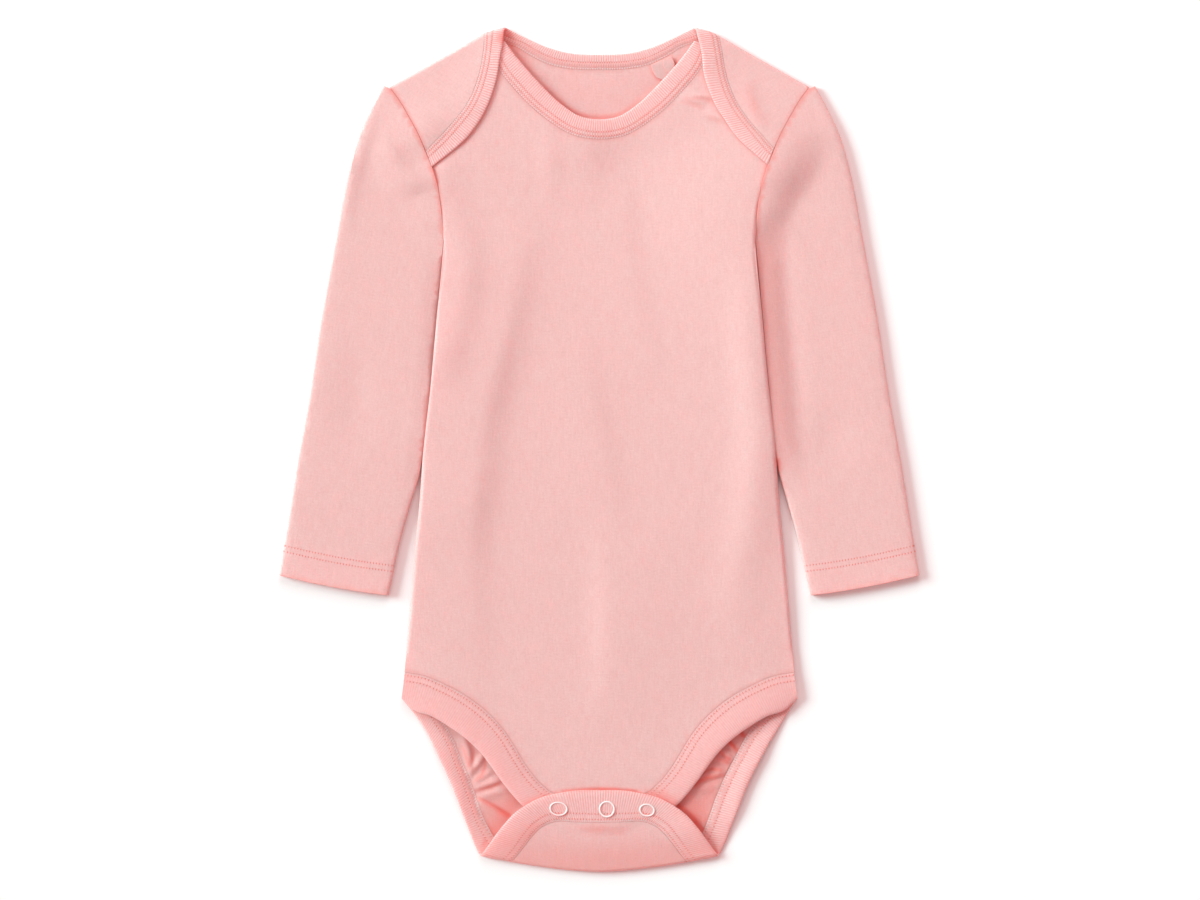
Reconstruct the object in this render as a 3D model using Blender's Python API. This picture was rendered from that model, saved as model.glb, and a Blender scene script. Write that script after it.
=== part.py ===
"""Baby bodysuit with long sleeves, an envelope neck and a crotch flap with three ring snaps.

The garment lies flat on its back. The tables are in millimetres, seen from above: x runs to the
right, y towards the neck, z up. Both halves are alike unless a table says which side it is for,
so most tables give the right half. Cloth is a wall of even thickness round a middle surface; each
piece is cut as a flat pattern, and the back is turned over the shoulder lines and the crotch line
on to the front, as the real one is folded.
"""
import math
from collections import namedtuple

import bmesh
import bpy
import numpy as np
from mathutils.geometry import delaunay_2d_cdt

MM = 0.001

# ------------------------------------------------------------------ driving dimensions, mm
WALL = 1.0                  # cotton interlock
BINDING = 1.8               # folded rib strip with the panel's raw edge inside it
GAP = 0.3                   # between neighbouring pieces
SLEEVE_GAP = 0.7            # where the sleeve bends down towards its seam
HEM_DEPTH = 15.0            # turned-up sleeve hem
HEM_EXTRA = 0.4             # what the turned-up layer adds inside
HEM_BLEND = 5.0             # over which that layer ends
FRONT_LOFT = 1.8            # how far the front stands off the back
SIDE_ROUND = 3.5            # over which it comes down to the side seams
SIDE_LOW = 0.3              # share of its height that is left at the seam
SIDE_HELD = 0.5             # and what a sleeve that lies beside the seam adds to that
SHOULDER_REACH = 34.0       # over which it comes down to the shoulder folds
SLEEVE_EDGE = 3.2           # middle of one wall to middle of the other, at the sleeve's edges
SLEEVE_SHOULDER = 9.0       # over which a sleeve's loft rises from its edges
EDGE_REACH = 1.0            # how far the half round of a sleeve's edge reaches out at most
SNAP_WIRE = 0.55            # radius of a snap ring's rim
TAPE_THICKNESS = 1.0        # both leaves of the folded neck tape
CROTCH_Y = -220.9           # lowest point of the crotch fold
CROTCH_RISE = 8.4           # how far the fold curves up at its ends
CROTCH_HALF = 63.0
FLAP_CLIMB = 21.0           # from the fold to where the flap lies on the tab

# how closely outlines and surfaces are divided
EDGE_STEP = 7.0
FRONT_STEP = 9.0
BACK_STEP = 20.0
LAP_STEP = 9.0
LAP_BED_STEP = 4.5
RIB_STEP = 5.5
FINE_STEP = 2.2             # along the gathers
TURN_STEPS = 5
SLEEVE_STEP = 9.5
SLEEVE_EDGE_STEPS = 3

Point = namedtuple("Point", "x y")
Rib = namedtuple("Rib", "seam_x seam_y edge_x edge_y")
Ridge = namedtuple("Ridge", "name left right points")
Sleeve = namedtuple("Sleeve", "side loft settle folds")
Snap = namedtuple("Snap", "name x y across along turn")

# ------------------------------------------------------------------ outlines, right half
SHOULDER_CLEAR = 0.8                    # from the front's shoulder edge to the axis of the turn
SHOULDER_ARM = Point(109.5, 189.5)      # where the shoulder fold meets the sleeve
SHOULDER_NECK = Point(60.5, 217.0)      # where the shoulder fold starts to round towards the neck

ARMHOLE = [                             # shoulder to underarm
    Point(109.5, 189.5), Point(103.8, 181.5), Point(98.7, 172.7), Point(94.0, 164.0),
    Point(90.7, 156.0), Point(87.0, 147.0), Point(84.5, 139.0), Point(82.5, 127.5),
    Point(80.8, 108.0)]

SIDE_SEAM = [                           # underarm to the leg
    Point(80.8, 108.0), Point(84.0, 72.5), Point(87.5, 34.0), Point(91.5, -2.0),
    Point(93.3, -26.5), Point(96.3, -57.5), Point(98.0, -78.5), Point(99.8, -99.5),
    Point(101.4, -116.0)]

SLEEVE_OUTER = [                        # shoulder to cuff
    Point(112.6, 189.4), Point(117.0, 181.5), Point(126.2, 161.5), Point(131.8, 140.5),
    Point(137.5, 109.5), Point(145.2, 67.5), Point(151.5, 26.0), Point(157.2, -5.5),
    Point(162.2, -37.0), Point(166.9, -65.5)]

SLEEVE_INNER = [                        # underarm to cuff, beside the body as far as y -10
    Point(81.4, 107.0), Point(84.6, 72.5), Point(88.1, 34.0), Point(92.1, -2.0),
    Point(93.8, -12.0), Point(97.8, -26.5), Point(103.6, -47.0), Point(108.0, -67.0),
    Point(110.0, -76.0)]

CUFF = [                                # outer edge to inner edge
    Point(166.9, -65.5), Point(148.0, -69.8), Point(126.2, -73.8), Point(110.0, -76.0)]

# ------------------------------------------------------------------ bindings, rib by rib
FRONT_NECK = [                          # middle to right shoulder
    Rib(0.0, 161.5, 0.0, 172.0), Rib(14.5, 164.0, 11.0, 174.0), Rib(25.5, 170.5, 20.0, 180.0),
    Rib(36.5, 179.5, 28.5, 188.0), Rib(44.5, 188.0, 36.0, 196.0), Rib(52.8, 198.5, 44.0, 205.5),
    Rib(57.5, 210.0, 49.5, 213.0)]

BACK_NECK = [                           # middle to right shoulder
    Rib(0.0, 198.0, 0.0, 206.0), Rib(14.7, 198.5, 13.7, 206.5), Rib(26.0, 200.7, 22.5, 208.3),
    Rib(35.2, 205.0, 30.5, 211.0), Rib(43.2, 209.8, 38.7, 214.8), Rib(51.0, 212.5, 44.5, 217.6)]

LAP_LEFT = [                            # shoulder fold to armhole, on the top layer
    Rib(-60.5, 208.0, -51.0, 208.0), Rib(-62.5, 197.0, -53.0, 195.5),
    Rib(-69.5, 179.5, -60.5, 174.5), Rib(-77.0, 170.0, -68.5, 163.0),
    Rib(-90.0, 155.8, -87.0, 147.2)]

LAP_RIGHT = [
    Rib(64.0, 207.5, 53.0, 207.5), Rib(66.0, 196.0, 54.5, 195.0), Rib(69.8, 184.5, 59.0, 182.0),
    Rib(76.0, 174.0, 65.0, 172.0), Rib(84.0, 164.5, 73.5, 160.5), Rib(90.8, 156.8, 87.4, 148.2)]

FRONT_LEG = [                           # side seam to the middle of the tab
    Rib(101.4, -116.0, 103.2, -130.0), Rib(90.5, -118.0, 96.0, -136.2),
    Rib(80.0, -122.5, 88.0, -138.8), Rib(67.5, -129.5, 77.5, -145.0),
    Rib(57.0, -138.0, 69.0, -151.2), Rib(49.0, -147.0, 62.0, -158.0),
    Rib(43.0, -156.5, 57.0, -164.5), Rib(36.8, -166.5, 51.0, -173.0),
    Rib(30.0, -174.5, 45.0, -180.5), Rib(23.5, -179.3, 39.2, -186.5),
    Rib(16.5, -180.5, 28.5, -194.5), Rib(0.0, -180.5, 0.0, -196.0)]

BACK_LEG_LEFT = [                       # side seam to crotch fold, under layer
    Rib(-101.4, -116.0, -103.2, -130.0), Rib(-89.5, -130.0, -94.5, -141.0),
    Rib(-82.5, -140.0, -89.5, -149.0), Rib(-77.0, -149.0, -85.0, -158.5),
    Rib(-72.5, -160.0, -80.5, -168.0), Rib(-67.5, -171.5, -76.5, -177.0),
    Rib(-64.0, -181.5, -72.5, -187.5), Rib(-60.0, -192.5, -69.0, -196.5),
    Rib(-53.5, -204.5, -65.3, -206.0)]

BACK_LEG_RIGHT = [
    Rib(101.4, -116.0, 103.2, -130.0), Rib(90.5, -132.5, 97.0, -139.5),
    Rib(84.0, -139.0, 92.5, -147.0), Rib(77.5, -147.5, 88.0, -154.5),
    Rib(71.5, -158.5, 83.0, -164.0), Rib(65.5, -170.0, 77.5, -175.0),
    Rib(60.5, -181.5, 73.3, -185.5), Rib(57.0, -191.5, 69.8, -194.5),
    Rib(52.0, -204.0, 65.6, -205.5)]

FLAP = [                                # crotch fold to the middle of the flap, on the top layer
    Rib(41.0, -209.5, 57.3, -205.5), Rib(36.0, -203.0, 51.5, -197.5),
    Rib(30.0, -197.0, 43.0, -188.5), Rib(22.5, -194.0, 31.0, -181.5),
    Rib(13.5, -194.2, 17.5, -178.3), Rib(0.0, -194.5, 0.0, -177.5)]

# ------------------------------------------------------------------ relief
# Each ridge (or trough, where the height is negative) runs through its points (x, y, height), the
# long ones towards the neck. The two widths say how softly it falls off to its left and right.
FRONT_EDGES = [                         # along the neck, the legs and the tab
    Ridge("neck edge", 17, 17, [(-50, 198, 0.7), (-30, 176, 0.9), (0, 166, 1.0), (30, 176, 0.9),
                                (50, 198, 0.7)]),
    Ridge("left shoulder corner", 10, 10, [(-52, 214, 0.6), (-53, 205, 0.6)]),
    Ridge("right shoulder corner", 10, 10, [(52, 214, 0.6), (53, 205, 0.6)]),
    Ridge("left leg edge", 11, 11, [(-104, -122, 0.9), (-92, -134, 0.9), (-70, -148, 1.2),
                                    (-56, -163, 1.2), (-46, -178, 0.5)]),
    Ridge("right leg edge", 11, 11, [(104, -122, 0.9), (92, -134, 0.9), (70, -148, 1.2),
                                     (56, -163, 1.2), (46, -178, 0.5)]),
    Ridge("tab", 15, 15, [(-28, -199, -1.0), (28, -199, -1.0)])]

FRONT_FOLDS = [
    Ridge("long fall", 60, 10.5, [(-66, -125, 0.2), (-68, -90, 0.9), (-69, -60, 1.3),
                                  (-68, -30, 2.5), (-64, -10, 2.2), (-63, 10, 2.2),
                                  (-59, 30, 2.6),
                                 (-54, 50, 2.5), (-49, 70, 1.9), (-44, 95, 1.4),
                                 (-40, 120, 0.2)]),
    Ridge("left side fall", 20, 10, [(-84, 30, 0.0), (-81, 50, 1.8), (-75, 70, 1.5),
                                     (-71, 90, 1.7), (-73, 110, 1.4), (-80, 130, 1.1),
                                     (-85, 150, 1.3), (-88, 168, 0.8)]),
    Ridge("right chest", 42, 30, [(80, -70, 0.3), (84, -20, 1.3), (84, 10, 1.9), (82, 45, 2.8),
                                  (80, 85, 4.2), (81, 110, 5.0), (84, 130, 5.2), (87, 148, 4.8),
                                  (90, 165, 3.2), (96, 182, 1.4)]),
    Ridge("right side", 11, 14, [(71, -100, 0.2), (72, -75, 0.9), (77, -50, 1.6), (80, -30, 2.1),
                                 (82, -10, 2.4), (84, 10, 2.6), (82, 30, 2.7), (80, 50, 2.5),
                                 (79, 70, 2.0), (79, 92, 0.8), (80, 110, 0.0)]),
    Ridge("under the left lap", 8, 8, [(-92, 149, -1.5), (-84, 157, -1.4), (-75, 167, -0.3)]),
    Ridge("left leg corner", 14, 14, [(-102, -98, -0.4), (-104, -118, -1.4), (-105, -132, -1.4)]),
    Ridge("right leg corner", 14, 14, [(102, -98, -0.4), (104, -118, -1.4), (105, -132, -1.4)]),
    Ridge("chest dip", 20, 20, [(22, 90, 0.0), (18, 120, -0.6), (15, 150, -1.2)]),
    Ridge("breast line", 18, 6.5, [(26, 30, 0.0), (25, 50, 0.4), (21, 70, 0.5), (16, 90, 0.6),
                                   (13, 110, 0.7), (12, 130, 0.5), (8, 145, 0.0)]),
    Ridge("middle line", 22, 6.5, [(12, -48, 0.0), (8, -30, 0.45), (3, -10, 0.75), (-1, 10, 0.7),
                                   (-5, 30, 0.6), (-8, 50, 0.35), (-12, 70, 0.0)]),
    Ridge("lower ridge", 9, 34, [(0, -150, 0.0), (4, -125, 0.9), (6, -105, 1.3), (6, -88, 1.5),
                                 (5, -70, 1.2), (3, -50, 0.7), (0, -32, 0.0)]),
    Ridge("below the neck", 14, 9, [(-4, 125, 0.0), (-6, 140, 0.5), (-6, 155, 0.75),
                                    (-8, 170, 0.5)]),
    Ridge("small upright", 7, 6, [(-24, 128, 0.0), (-26, 150, 0.8), (-27, 168, 0.4)])]

BACK_EDGE = [                           # right half: the elastic leg edge curls up
    Ridge("leg edge", 9, 9, [(96, -140, 0.0), (91, -150, 0.8), (86, -160, 1.8), (81, -171, 2.4),
                             (77, -182, 2.4), (73, -192, 1.6), (69, -200, 0.5), (66, -206, 0.0)])]

SLEEVE_LEFT = Sleeve(-1, 0.2, 30.0, [
    Ridge("beside the body", 9, 9, [(-95, -24, 0.0), (-92, -6, 0.1), (-90, 12, 0.6),
                                    (-88, 28, 0.2), (-86.5, 45, -0.1), (-82, 100, 0.0)]),
    Ridge("cap fold", 11, 3.8, [(-92, 134, 0.0), (-97, 139.5, 0.8), (-103.5, 147, 1.5),
                                (-108.5, 154, 1.5), (-113, 163, 0.8), (-116, 171, 0.0)]),
    Ridge("outer rim", 3, 4.5, [(-132, 108, 0.0), (-131.5, 128, 0.8), (-129.5, 141, 1.2),
                                (-127, 150, 1.4), (-124.5, 158, 1.4), (-120.5, 170, 1.0),
                                (-116, 180, 0.0)]),
    Ridge("elbow dip", 10, 10, [(-130, -5, 0.0), (-126, 30, -0.7), (-128, 60, 0.0)])])

SLEEVE_RIGHT = Sleeve(1, 0.3, 28.0, [
    Ridge("beside the body", 16, 16, [(88, -26, 0.0), (86, -12, 1.6), (84, 0, 3.4),
                                      (80, 34, 4.4), (76.5, 72, 4.6), (73.5, 107, 4.6)]),
    Ridge("beyond that", 6, 6, [(108, -22, 0.0), (105, 0, -0.6), (101.5, 34, -1.0),
                                (98, 72, -1.0), (95.5, 105, -1.0)]),
    Ridge("elbow dip", 10, 10, [(122, -20, 0.0), (120, 8, -0.7), (118, 25, 0.0)])])

GATHERS_LEFT = [                        # pleats that the elastic draws into the back, from the seam
    Ridge("pleat 1", 2.2, 1.5, [(-68.6, -171, 0.0), (-67.8, -166, 0.8), (-68.3, -159, 1.2),
                                (-70.4, -152, 0.5), (-72, -148.5, 0.0)]),
    Ridge("pleat 2", 1.8, 1.5, [(-68, -171.5, 0.0), (-66.2, -167, 0.9), (-63.2, -163.5, 1.3),
                                (-60.6, -159, 0.6), (-59.5, -156, 0.0)]),
    Ridge("pleat 3", 1.5, 1.6, [(-66.5, -174.5, 0.0), (-64.3, -172.8, 0.8), (-61, -170.9, 1.2),
                                (-57.6, -168.8, 0.6), (-55, -167, 0.0)]),
    Ridge("pleat 4", 2.2, 1.4, [(-66, -177.5, 0.0), (-63.5, -176.3, 0.7), (-57.6, -174.3, 1.3),
                                (-51.7, -172.2, 0.7), (-49, -171, 0.0)]),
    Ridge("pleat 5", 1.8, 2.6, [(-65, -181.5, 0.0), (-62.5, -181, 0.6), (-57.6, -179.9, 1.0),
                                (-49.1, -177.3, 0.4), (-46, -176, 0.0)]),
    Ridge("pleat 6", 1.4, 3.5, [(-64.5, -182.2, 0.0), (-62.8, -183.3, 0.8), (-55.1, -187.6, 1.2),
                                (-47, -192.7, 0.7), (-44, -194.5, 0.0)])]

GATHERS_RIGHT = [
    Ridge("pleat 1", 1.3, 1.6, [(65.5, -150.5, 0.0), (67.2, -153.1, 1.1), (69.3, -156.2, 1.0),
                                (70.8, -158.5, 0.0)]),
    Ridge("pleat 2", 1.5, 1.6, [(61.5, -155.5, 0.0), (63.5, -157.2, 0.8), (67.7, -160.7, 1.1),
                                (69.6, -163.4, 0.0)]),
    Ridge("pleat 3", 1.5, 1.6, [(57.5, -159.5, 0.0), (60.1, -160.7, 0.8), (64.3, -162.8, 1.1),
                                (68.2, -166, 0.0)]),
    Ridge("pleat 4", 1.6, 1.6, [(54.5, -163.8, 0.0), (57.5, -164.9, 0.7), (62.6, -167.1, 1.0),
                                (66.8, -168.4, 0.0)]),
    Ridge("pleat 5", 2.5, 1.3, [(49.5, -174.2, 0.0), (51.5, -172.8, 0.8), (57.5, -170.9, 1.3),
                                (63.9, -169.4, 1.0), (66, -169.2, 0.0)]),
    Ridge("pleat 6", 2.5, 3.0, [(49, -178.2, 0.0), (52, -177.3, 0.5), (58.4, -175.6, 0.8),
                                (63.5, -174.5, 0.4), (65, -174, 0.0)])]
GATHERS = GATHERS_LEFT + GATHERS_RIGHT
GATHER_REACH = 3.6                      # how far a pleat needs closely set points

SNAPS = [
    Snap("snap_ring_left", -21.3, -187.2, 9.7, 7.4, 8.0),
    Snap("snap_ring_middle", 3.9, -187.4, 8.5, 8.8, 0.0),
    Snap("snap_ring_right", 24.8, -187.9, 8.4, 6.8, 10.0)]

TAPE = [                                # clockwise from its left end in the back neck seam
    Point(27.6, 200.2), Point(37.6, 205.0), Point(39.4, 201.6), Point(36.2, 197.6),
    Point(31.2, 192.0), Point(28.4, 195.0)]

# ------------------------------------------------------------------ finishes
PINK = (0.88, 0.53, 0.51)
PINK_RIB = (0.89, 0.55, 0.53)
PALE = (0.93, 0.85, 0.83)


# ================================================================== curves and relief
def smooth_curve(stations, step):
    """Points about `step` mm apart on a smooth curve through rows of numbers."""
    knots = np.array(stations, float)
    lengths = np.linalg.norm(np.diff(knots[:, :2], axis=0), axis=1)
    marks = np.concatenate([[0.0], np.cumsum(lengths)])
    slopes = np.gradient(knots, marks, axis=0)
    at = np.linspace(0.0, marks[-1], max(2, round(marks[-1] / step) + 1))
    i = np.clip(np.searchsorted(marks, at, side="right") - 1, 0, len(lengths) - 1)
    span = lengths[i][:, None]
    u = (at - marks[i])[:, None] / span
    start = (2 * u**3 - 3 * u**2 + 1) * knots[i] + (u**3 - 2 * u**2 + u) * span * slopes[i]
    end = (3 * u**2 - 2 * u**3) * knots[i + 1] + (u**3 - u**2) * span * slopes[i + 1]
    return start + end


def mirrored(stations):
    """The same rows on the left side of the garment: every x changes its sign."""
    rows = np.array(stations, float)
    rows[:, 0::2] *= -1
    return rows


def whole(half):
    """Left half, middle and right half of a table whose first row lies on the middle line."""
    return np.vstack([mirrored(half)[:0:-1], np.array(half, float)])


def beside(line, distance):
    """A line moved sideways, to the left of its direction where the distance is positive."""
    tangent = np.gradient(line, axis=0)
    tangent /= np.linalg.norm(tangent, axis=1)[:, None]
    return line + np.column_stack([-tangent[:, 1], tangent[:, 0]]) * np.reshape(distance, (-1, 1))


def ease(value):
    """0 below 0, 1 above 1 and a smooth step between."""
    t = np.clip(value, 0.0, 1.0)
    return t * t * (3.0 - 2.0 * t)


def marks_of(path):
    """How far along a polyline each of its points is."""
    sizes = np.linalg.norm(np.diff(path[:, :2], axis=0), axis=1)
    return np.concatenate([[0.0], np.cumsum(sizes)])


def nearest_on(path, xy):
    """For each point: its distance to a polyline, how far along that is, and if it's on the left."""
    starts, runs = path[:-1, :2], np.diff(path[:, :2], axis=0)
    sizes = np.linalg.norm(runs, axis=1)
    from_start = xy[:, None, :] - starts[None]
    share = np.clip((from_start * runs).sum(2) / sizes**2, 0.0, 1.0)
    away = np.linalg.norm(from_start - share[:, :, None] * runs, axis=2)
    best = away.argmin(1)
    rows = np.arange(len(xy))
    offset, run = from_start[rows, best], runs[best]
    on_left = run[:, 0] * offset[:, 1] - run[:, 1] * offset[:, 0] > 0
    return away[rows, best], marks_of(path)[best] + share[rows, best] * sizes[best], on_left


def relief(ridges, xy):
    """Height that a table of ridges and troughs adds at each point."""
    height = np.zeros(len(xy))
    for ridge in ridges:
        path = smooth_curve(ridge.points, 4.0)
        away, along, on_left = nearest_on(path, xy)
        width = np.where(on_left, ridge.left, ridge.right)
        height += np.interp(along, marks_of(path), path[:, 2]) * np.exp(-(away / width) ** 2)
    return height


# ================================================================== how the layers lie
SIDE_LINE = smooth_curve(ARMHOLE[-3:] + SIDE_SEAM[1:] + [FRONT_LEG[0][2:]], 3.0)
SHOULDER_LINE = np.array([SHOULDER_NECK, SHOULDER_ARM])


def edge_share(xy):
    """How much of the front's height is left near the side seams and the shoulder folds."""
    folded = np.column_stack([np.abs(xy[:, 0]), xy[:, 1]])
    at_side = np.clip(1.0 - nearest_on(SIDE_LINE, folded)[0] / SIDE_ROUND, 0.0, 1.0)
    at_side *= ease((ARMHOLE[-3].y - xy[:, 1]) / 14.0) * ease((xy[:, 1] + 116.0) / 14.0)
    low = SIDE_LOW + SIDE_HELD * ease((xy[:, 1] + 20.0) / 25.0)
    rounded = low + (1.0 - low) * np.sqrt(1.0 - at_side**2)
    return rounded * ease(nearest_on(SHOULDER_LINE, folded)[0] / SHOULDER_REACH)


def front_floor(xy):
    """Underside of the front, above the back panel that it lies on."""
    lift = relief(FRONT_EDGES, xy) + (FRONT_LOFT + relief(FRONT_FOLDS, xy)) * edge_share(xy)
    return WALL + GAP + 0.5 * (lift + np.sqrt(lift**2 + 0.04))


def lap_floor(xy):
    """Underside of a shoulder lap: it clears the front, and near the neck the front's binding."""
    over_binding = 1.0 - ease((np.abs(xy[:, 0]) - 66.0) / 14.0)
    return front_floor(xy) + WALL + GAP + (BINDING - WALL) * over_binding


def crotch_bow(x):
    """How far the crotch fold has risen at this x."""
    return CROTCH_RISE * (np.abs(x) / CROTCH_HALF) ** 1.6


def flap_floor(xy):
    """Underside of the crotch flap: it climbs from the fold on to the front tab's binding."""
    from_fold = xy[:, 1] - CROTCH_Y - crotch_bow(xy[:, 0])
    over_tab = ease(from_fold / FLAP_CLIMB)
    return 2 * (WALL + GAP) + (front_floor(xy) + BINDING - 2 * WALL - GAP) * over_tab


def edge_curl(xy):
    """How far the elastic lifts the back's leg edges off the floor."""
    return relief(BACK_EDGE, np.column_stack([np.abs(xy[:, 0]), xy[:, 1]]))


def gather_height(xy):
    """Pleats that the elastic draws into the back, as high as the front leaves them room."""
    height = np.zeros(len(xy))
    near = np.where((np.abs(xy[:, 1] + 173) < 27) & (np.abs(xy[:, 0]) > 38))[0]
    if len(near):
        room = front_floor(xy[near]) - WALL - GAP - edge_curl(xy[near])
        height[near] = np.minimum(relief(GATHERS, xy[near]), room)
    return height


class Turn:
    """A line where the back turns over from the under layer on to the top layer.

    It runs from `start` to `end` with the garment on its right. `bow` says how far the line falls
    back inwards along its length, and `floor` is the underside of the layer that it turns on to.
    """
    reach = 2.3                         # from the axis of the turn to its outermost line

    def __init__(self, start, end, bow, floor, holds):
        self.start = np.array(start, float)
        run = np.array(end, float) - self.start
        self.length = np.linalg.norm(run)
        self.along = run / self.length
        self.out = np.array([-self.along[1], self.along[0]])
        self.bow = bow
        self.floor = floor
        self.holds = holds

    def split(self, xy):
        """Distance along the line and distance beyond the axis of the turn."""
        offset = xy - self.start
        along = offset @ self.along
        return along, offset @ self.out + self.reach + self.bow(along)

    def join(self, along, beyond):
        """The point with these two distances."""
        out = beyond - self.reach - self.bow(along)
        return self.start + along[:, None] * self.along + out[:, None] * self.out

    def radius(self, along):
        """Radius of the middle of the wall as it turns over."""
        return self.floor(self.join(along, np.zeros(len(along)))) / 2

    def unfold(self, xy):
        """Pattern place of a point that lies on the top layer."""
        along, beyond = self.split(xy)
        return self.join(along, math.pi * self.radius(along) - beyond)

    def place(self, xy, thickness):
        """Where the pattern points beyond the axis lie, once the cloth is turned over."""
        along, beyond = self.split(xy)
        radius = self.radius(along)
        angle = np.minimum(beyond / radius, math.pi)
        past = np.maximum(beyond - math.pi * radius, 0.0)
        flat = self.join(along, radius * np.sin(angle) - past)
        height = thickness / 2 + radius * (1.0 - np.cos(angle))
        top = past > 0
        height[top] = thickness / 2 + self.floor(flat[top])
        return np.column_stack([flat, height])


def shoulder_bow(along_from_neck):
    """The shoulder fold rounds down towards the neck over its last centimetres."""
    return 2.9 * ease((along_from_neck + 1.0) / 14.0)


def shoulder_turn(side):
    """The shoulder fold of one side: straight from the sleeve, rounded at the neck."""
    arm, neck = np.array(SHOULDER_ARM), np.array(SHOULDER_NECK)
    length = np.linalg.norm(arm - neck)
    if side < 0:
        start, end = arm * (-1, 1), neck * (-1, 1)
        return Turn(start, end, lambda a: shoulder_bow(a - length), lap_floor,
                    lambda xy: (xy[:, 0] < 0) & (xy[:, 1] > 120))
    return Turn(neck, arm, lambda a: shoulder_bow(-a), lap_floor,
                lambda xy: (xy[:, 0] > 0) & (xy[:, 1] > 120))


def crotch_turn():
    """The crotch fold, a shallow curve that rises to both sides."""
    return Turn((CROTCH_HALF, CROTCH_Y), (-CROTCH_HALF, CROTCH_Y),
                lambda along: crotch_bow(along - CROTCH_HALF), flap_floor,
                lambda xy: xy[:, 1] < -150)


TURN_LEFT = shoulder_turn(-1)
TURN_RIGHT = shoulder_turn(1)
TURN_CROTCH = crotch_turn()
TURNS = (TURN_LEFT, TURN_RIGHT, TURN_CROTCH)


def back_surface(thickness):
    """Pattern point to the middle of the back's wall, or of a binding of this thickness."""
    def surface(xy):
        placed = np.column_stack([xy, thickness / 2 + edge_curl(xy) + gather_height(xy)])
        for turn in TURNS:
            beyond = turn.split(xy)[1]
            turned = turn.holds(xy) & (beyond > 0)
            if turned.any():
                placed[turned] = turn.place(xy[turned], thickness)
        return placed
    return surface


def front_surface(thickness):
    """Point of the front, or of a binding of this thickness on it, to the middle of its wall."""
    def surface(xy):
        return np.column_stack([xy, front_floor(xy) + thickness / 2])
    return surface


def off_surface(surface, uv, distance):
    """Points at a distance from a surface, measured square to it."""
    probe = 0.02
    along_u = surface(uv + (probe, 0)) - surface(uv - (probe, 0))
    along_v = surface(uv + (0, probe)) - surface(uv - (0, probe))
    normal = np.cross(along_u, along_v)
    normal /= np.linalg.norm(normal, axis=1)[:, None]
    return surface(uv) + normal * np.reshape(distance, (-1, 1))


# ================================================================== objects
def finish(name, color, roughness=0.9):
    """A cloth or enamel finish of one colour."""
    material = bpy.data.materials.new(name)
    material.use_nodes = True
    shader = material.node_tree.nodes["Principled BSDF"]
    shader.inputs["Base Color"].default_value = (*color, 1.0)
    shader.inputs["Roughness"].default_value = roughness
    shader.inputs["Metallic"].default_value = 0.0
    return material


def add_object(name, points, faces, material):
    """One named solid from points in millimetres."""
    bm = bmesh.new()
    corners = [bm.verts.new(point * MM) for point in points]
    for face in faces:
        bm.faces.new([corners[i] for i in face])
    bmesh.ops.recalc_face_normals(bm, faces=bm.faces)
    mesh = bpy.data.meshes.new(name)
    bm.to_mesh(mesh)
    bm.free()
    mesh.shade_smooth()
    mesh.set_sharp_from_angle(angle=math.radians(50))
    mesh.materials.append(material)
    item = bpy.data.objects.new(name, mesh)
    bpy.context.collection.objects.link(item)
    return item


def lattice(outline, step):
    """Evenly staggered points over the box of an outline."""
    low, high = outline.min(0), outline.max(0)
    rows = []
    for j, y in enumerate(np.arange(low[1] + step / 2, high[1], step * 0.87)):
        xs = np.arange(low[0] + (0.5 if j % 2 else 1.0) * step / 2, high[0], step)
        rows.append(np.column_stack([xs, np.full(len(xs), y)]))
    return np.vstack(rows)


def inside(outline, xy):
    """Which points lie within a closed outline."""
    x, y = xy[:, 0, None], xy[:, 1, None]
    a, b = outline, np.roll(outline, -1, axis=0)
    crosses = (a[:, 1] > y) != (b[:, 1] > y)
    rise = np.where(b[:, 1] == a[:, 1], 1e-9, b[:, 1] - a[:, 1])
    left_of = x < a[:, 0] + (y - a[:, 1]) * (b[:, 0] - a[:, 0]) / rise
    return (crosses & left_of).sum(1) % 2 == 1


def cut_panel(outline, points, lines=()):
    """Triangles over an outline, through single points and along inner lines.

    Returns the pattern's points, its triangles and the number that each outline point has got.
    """
    ahead = np.roll(outline, -1, axis=0)
    area = (outline[:, 0] * ahead[:, 1] - ahead[:, 0] * outline[:, 1]).sum()
    border = list(range(len(outline)))
    corners = [tuple(p) for p in outline]
    edges = []
    for line in lines:
        first = len(corners)
        corners += [tuple(p) for p in line]
        edges += [(k, k + 1) for k in range(first, len(corners) - 1)]
    corners += [tuple(p) for p in points]
    found = delaunay_2d_cdt(corners, edges, [border if area > 0 else border[::-1]], 0, 1e-4)
    pattern = np.array([tuple(p) for p in found[0]])
    triangles = [face for face, source in zip(found[2], found[5]) if source]
    number = {old: new for new, sources in enumerate(found[3]) for old in sources}
    return pattern, triangles, [number[k] for k in border]


def wall_faces(triangles, count):
    """Faces of a wall: its upper side, its lower side `count` points on, and its rims."""
    sides = {(face[k], face[(k + 1) % 3]) for face in triangles for k in range(3)}
    rim = [(a, b, b + count, a + count) for a, b in sorted(sides) if (b, a) not in sides]
    faces = [tuple(face) for face in triangles]
    faces += [tuple(c + count for c in reversed(face)) for face in triangles]
    return faces + [half for a, b, c, d in rim for half in ((b, a, d), (b, d, c))]


def cloth_panel(name, surface, pattern, triangles, material):
    """A wall of even thickness round the surface that a cut pattern lies on."""
    used = sorted({corner for face in triangles for corner in face})
    number = {corner: k for k, corner in enumerate(used)}
    faces = [[number[c] for c in face] for face in triangles]
    upper = off_surface(surface, pattern[used], WALL / 2)
    lower = off_surface(surface, pattern[used], -WALL / 2)
    return add_object(name, np.vstack([upper, lower]), wall_faces(faces, len(used)), material)


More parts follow.
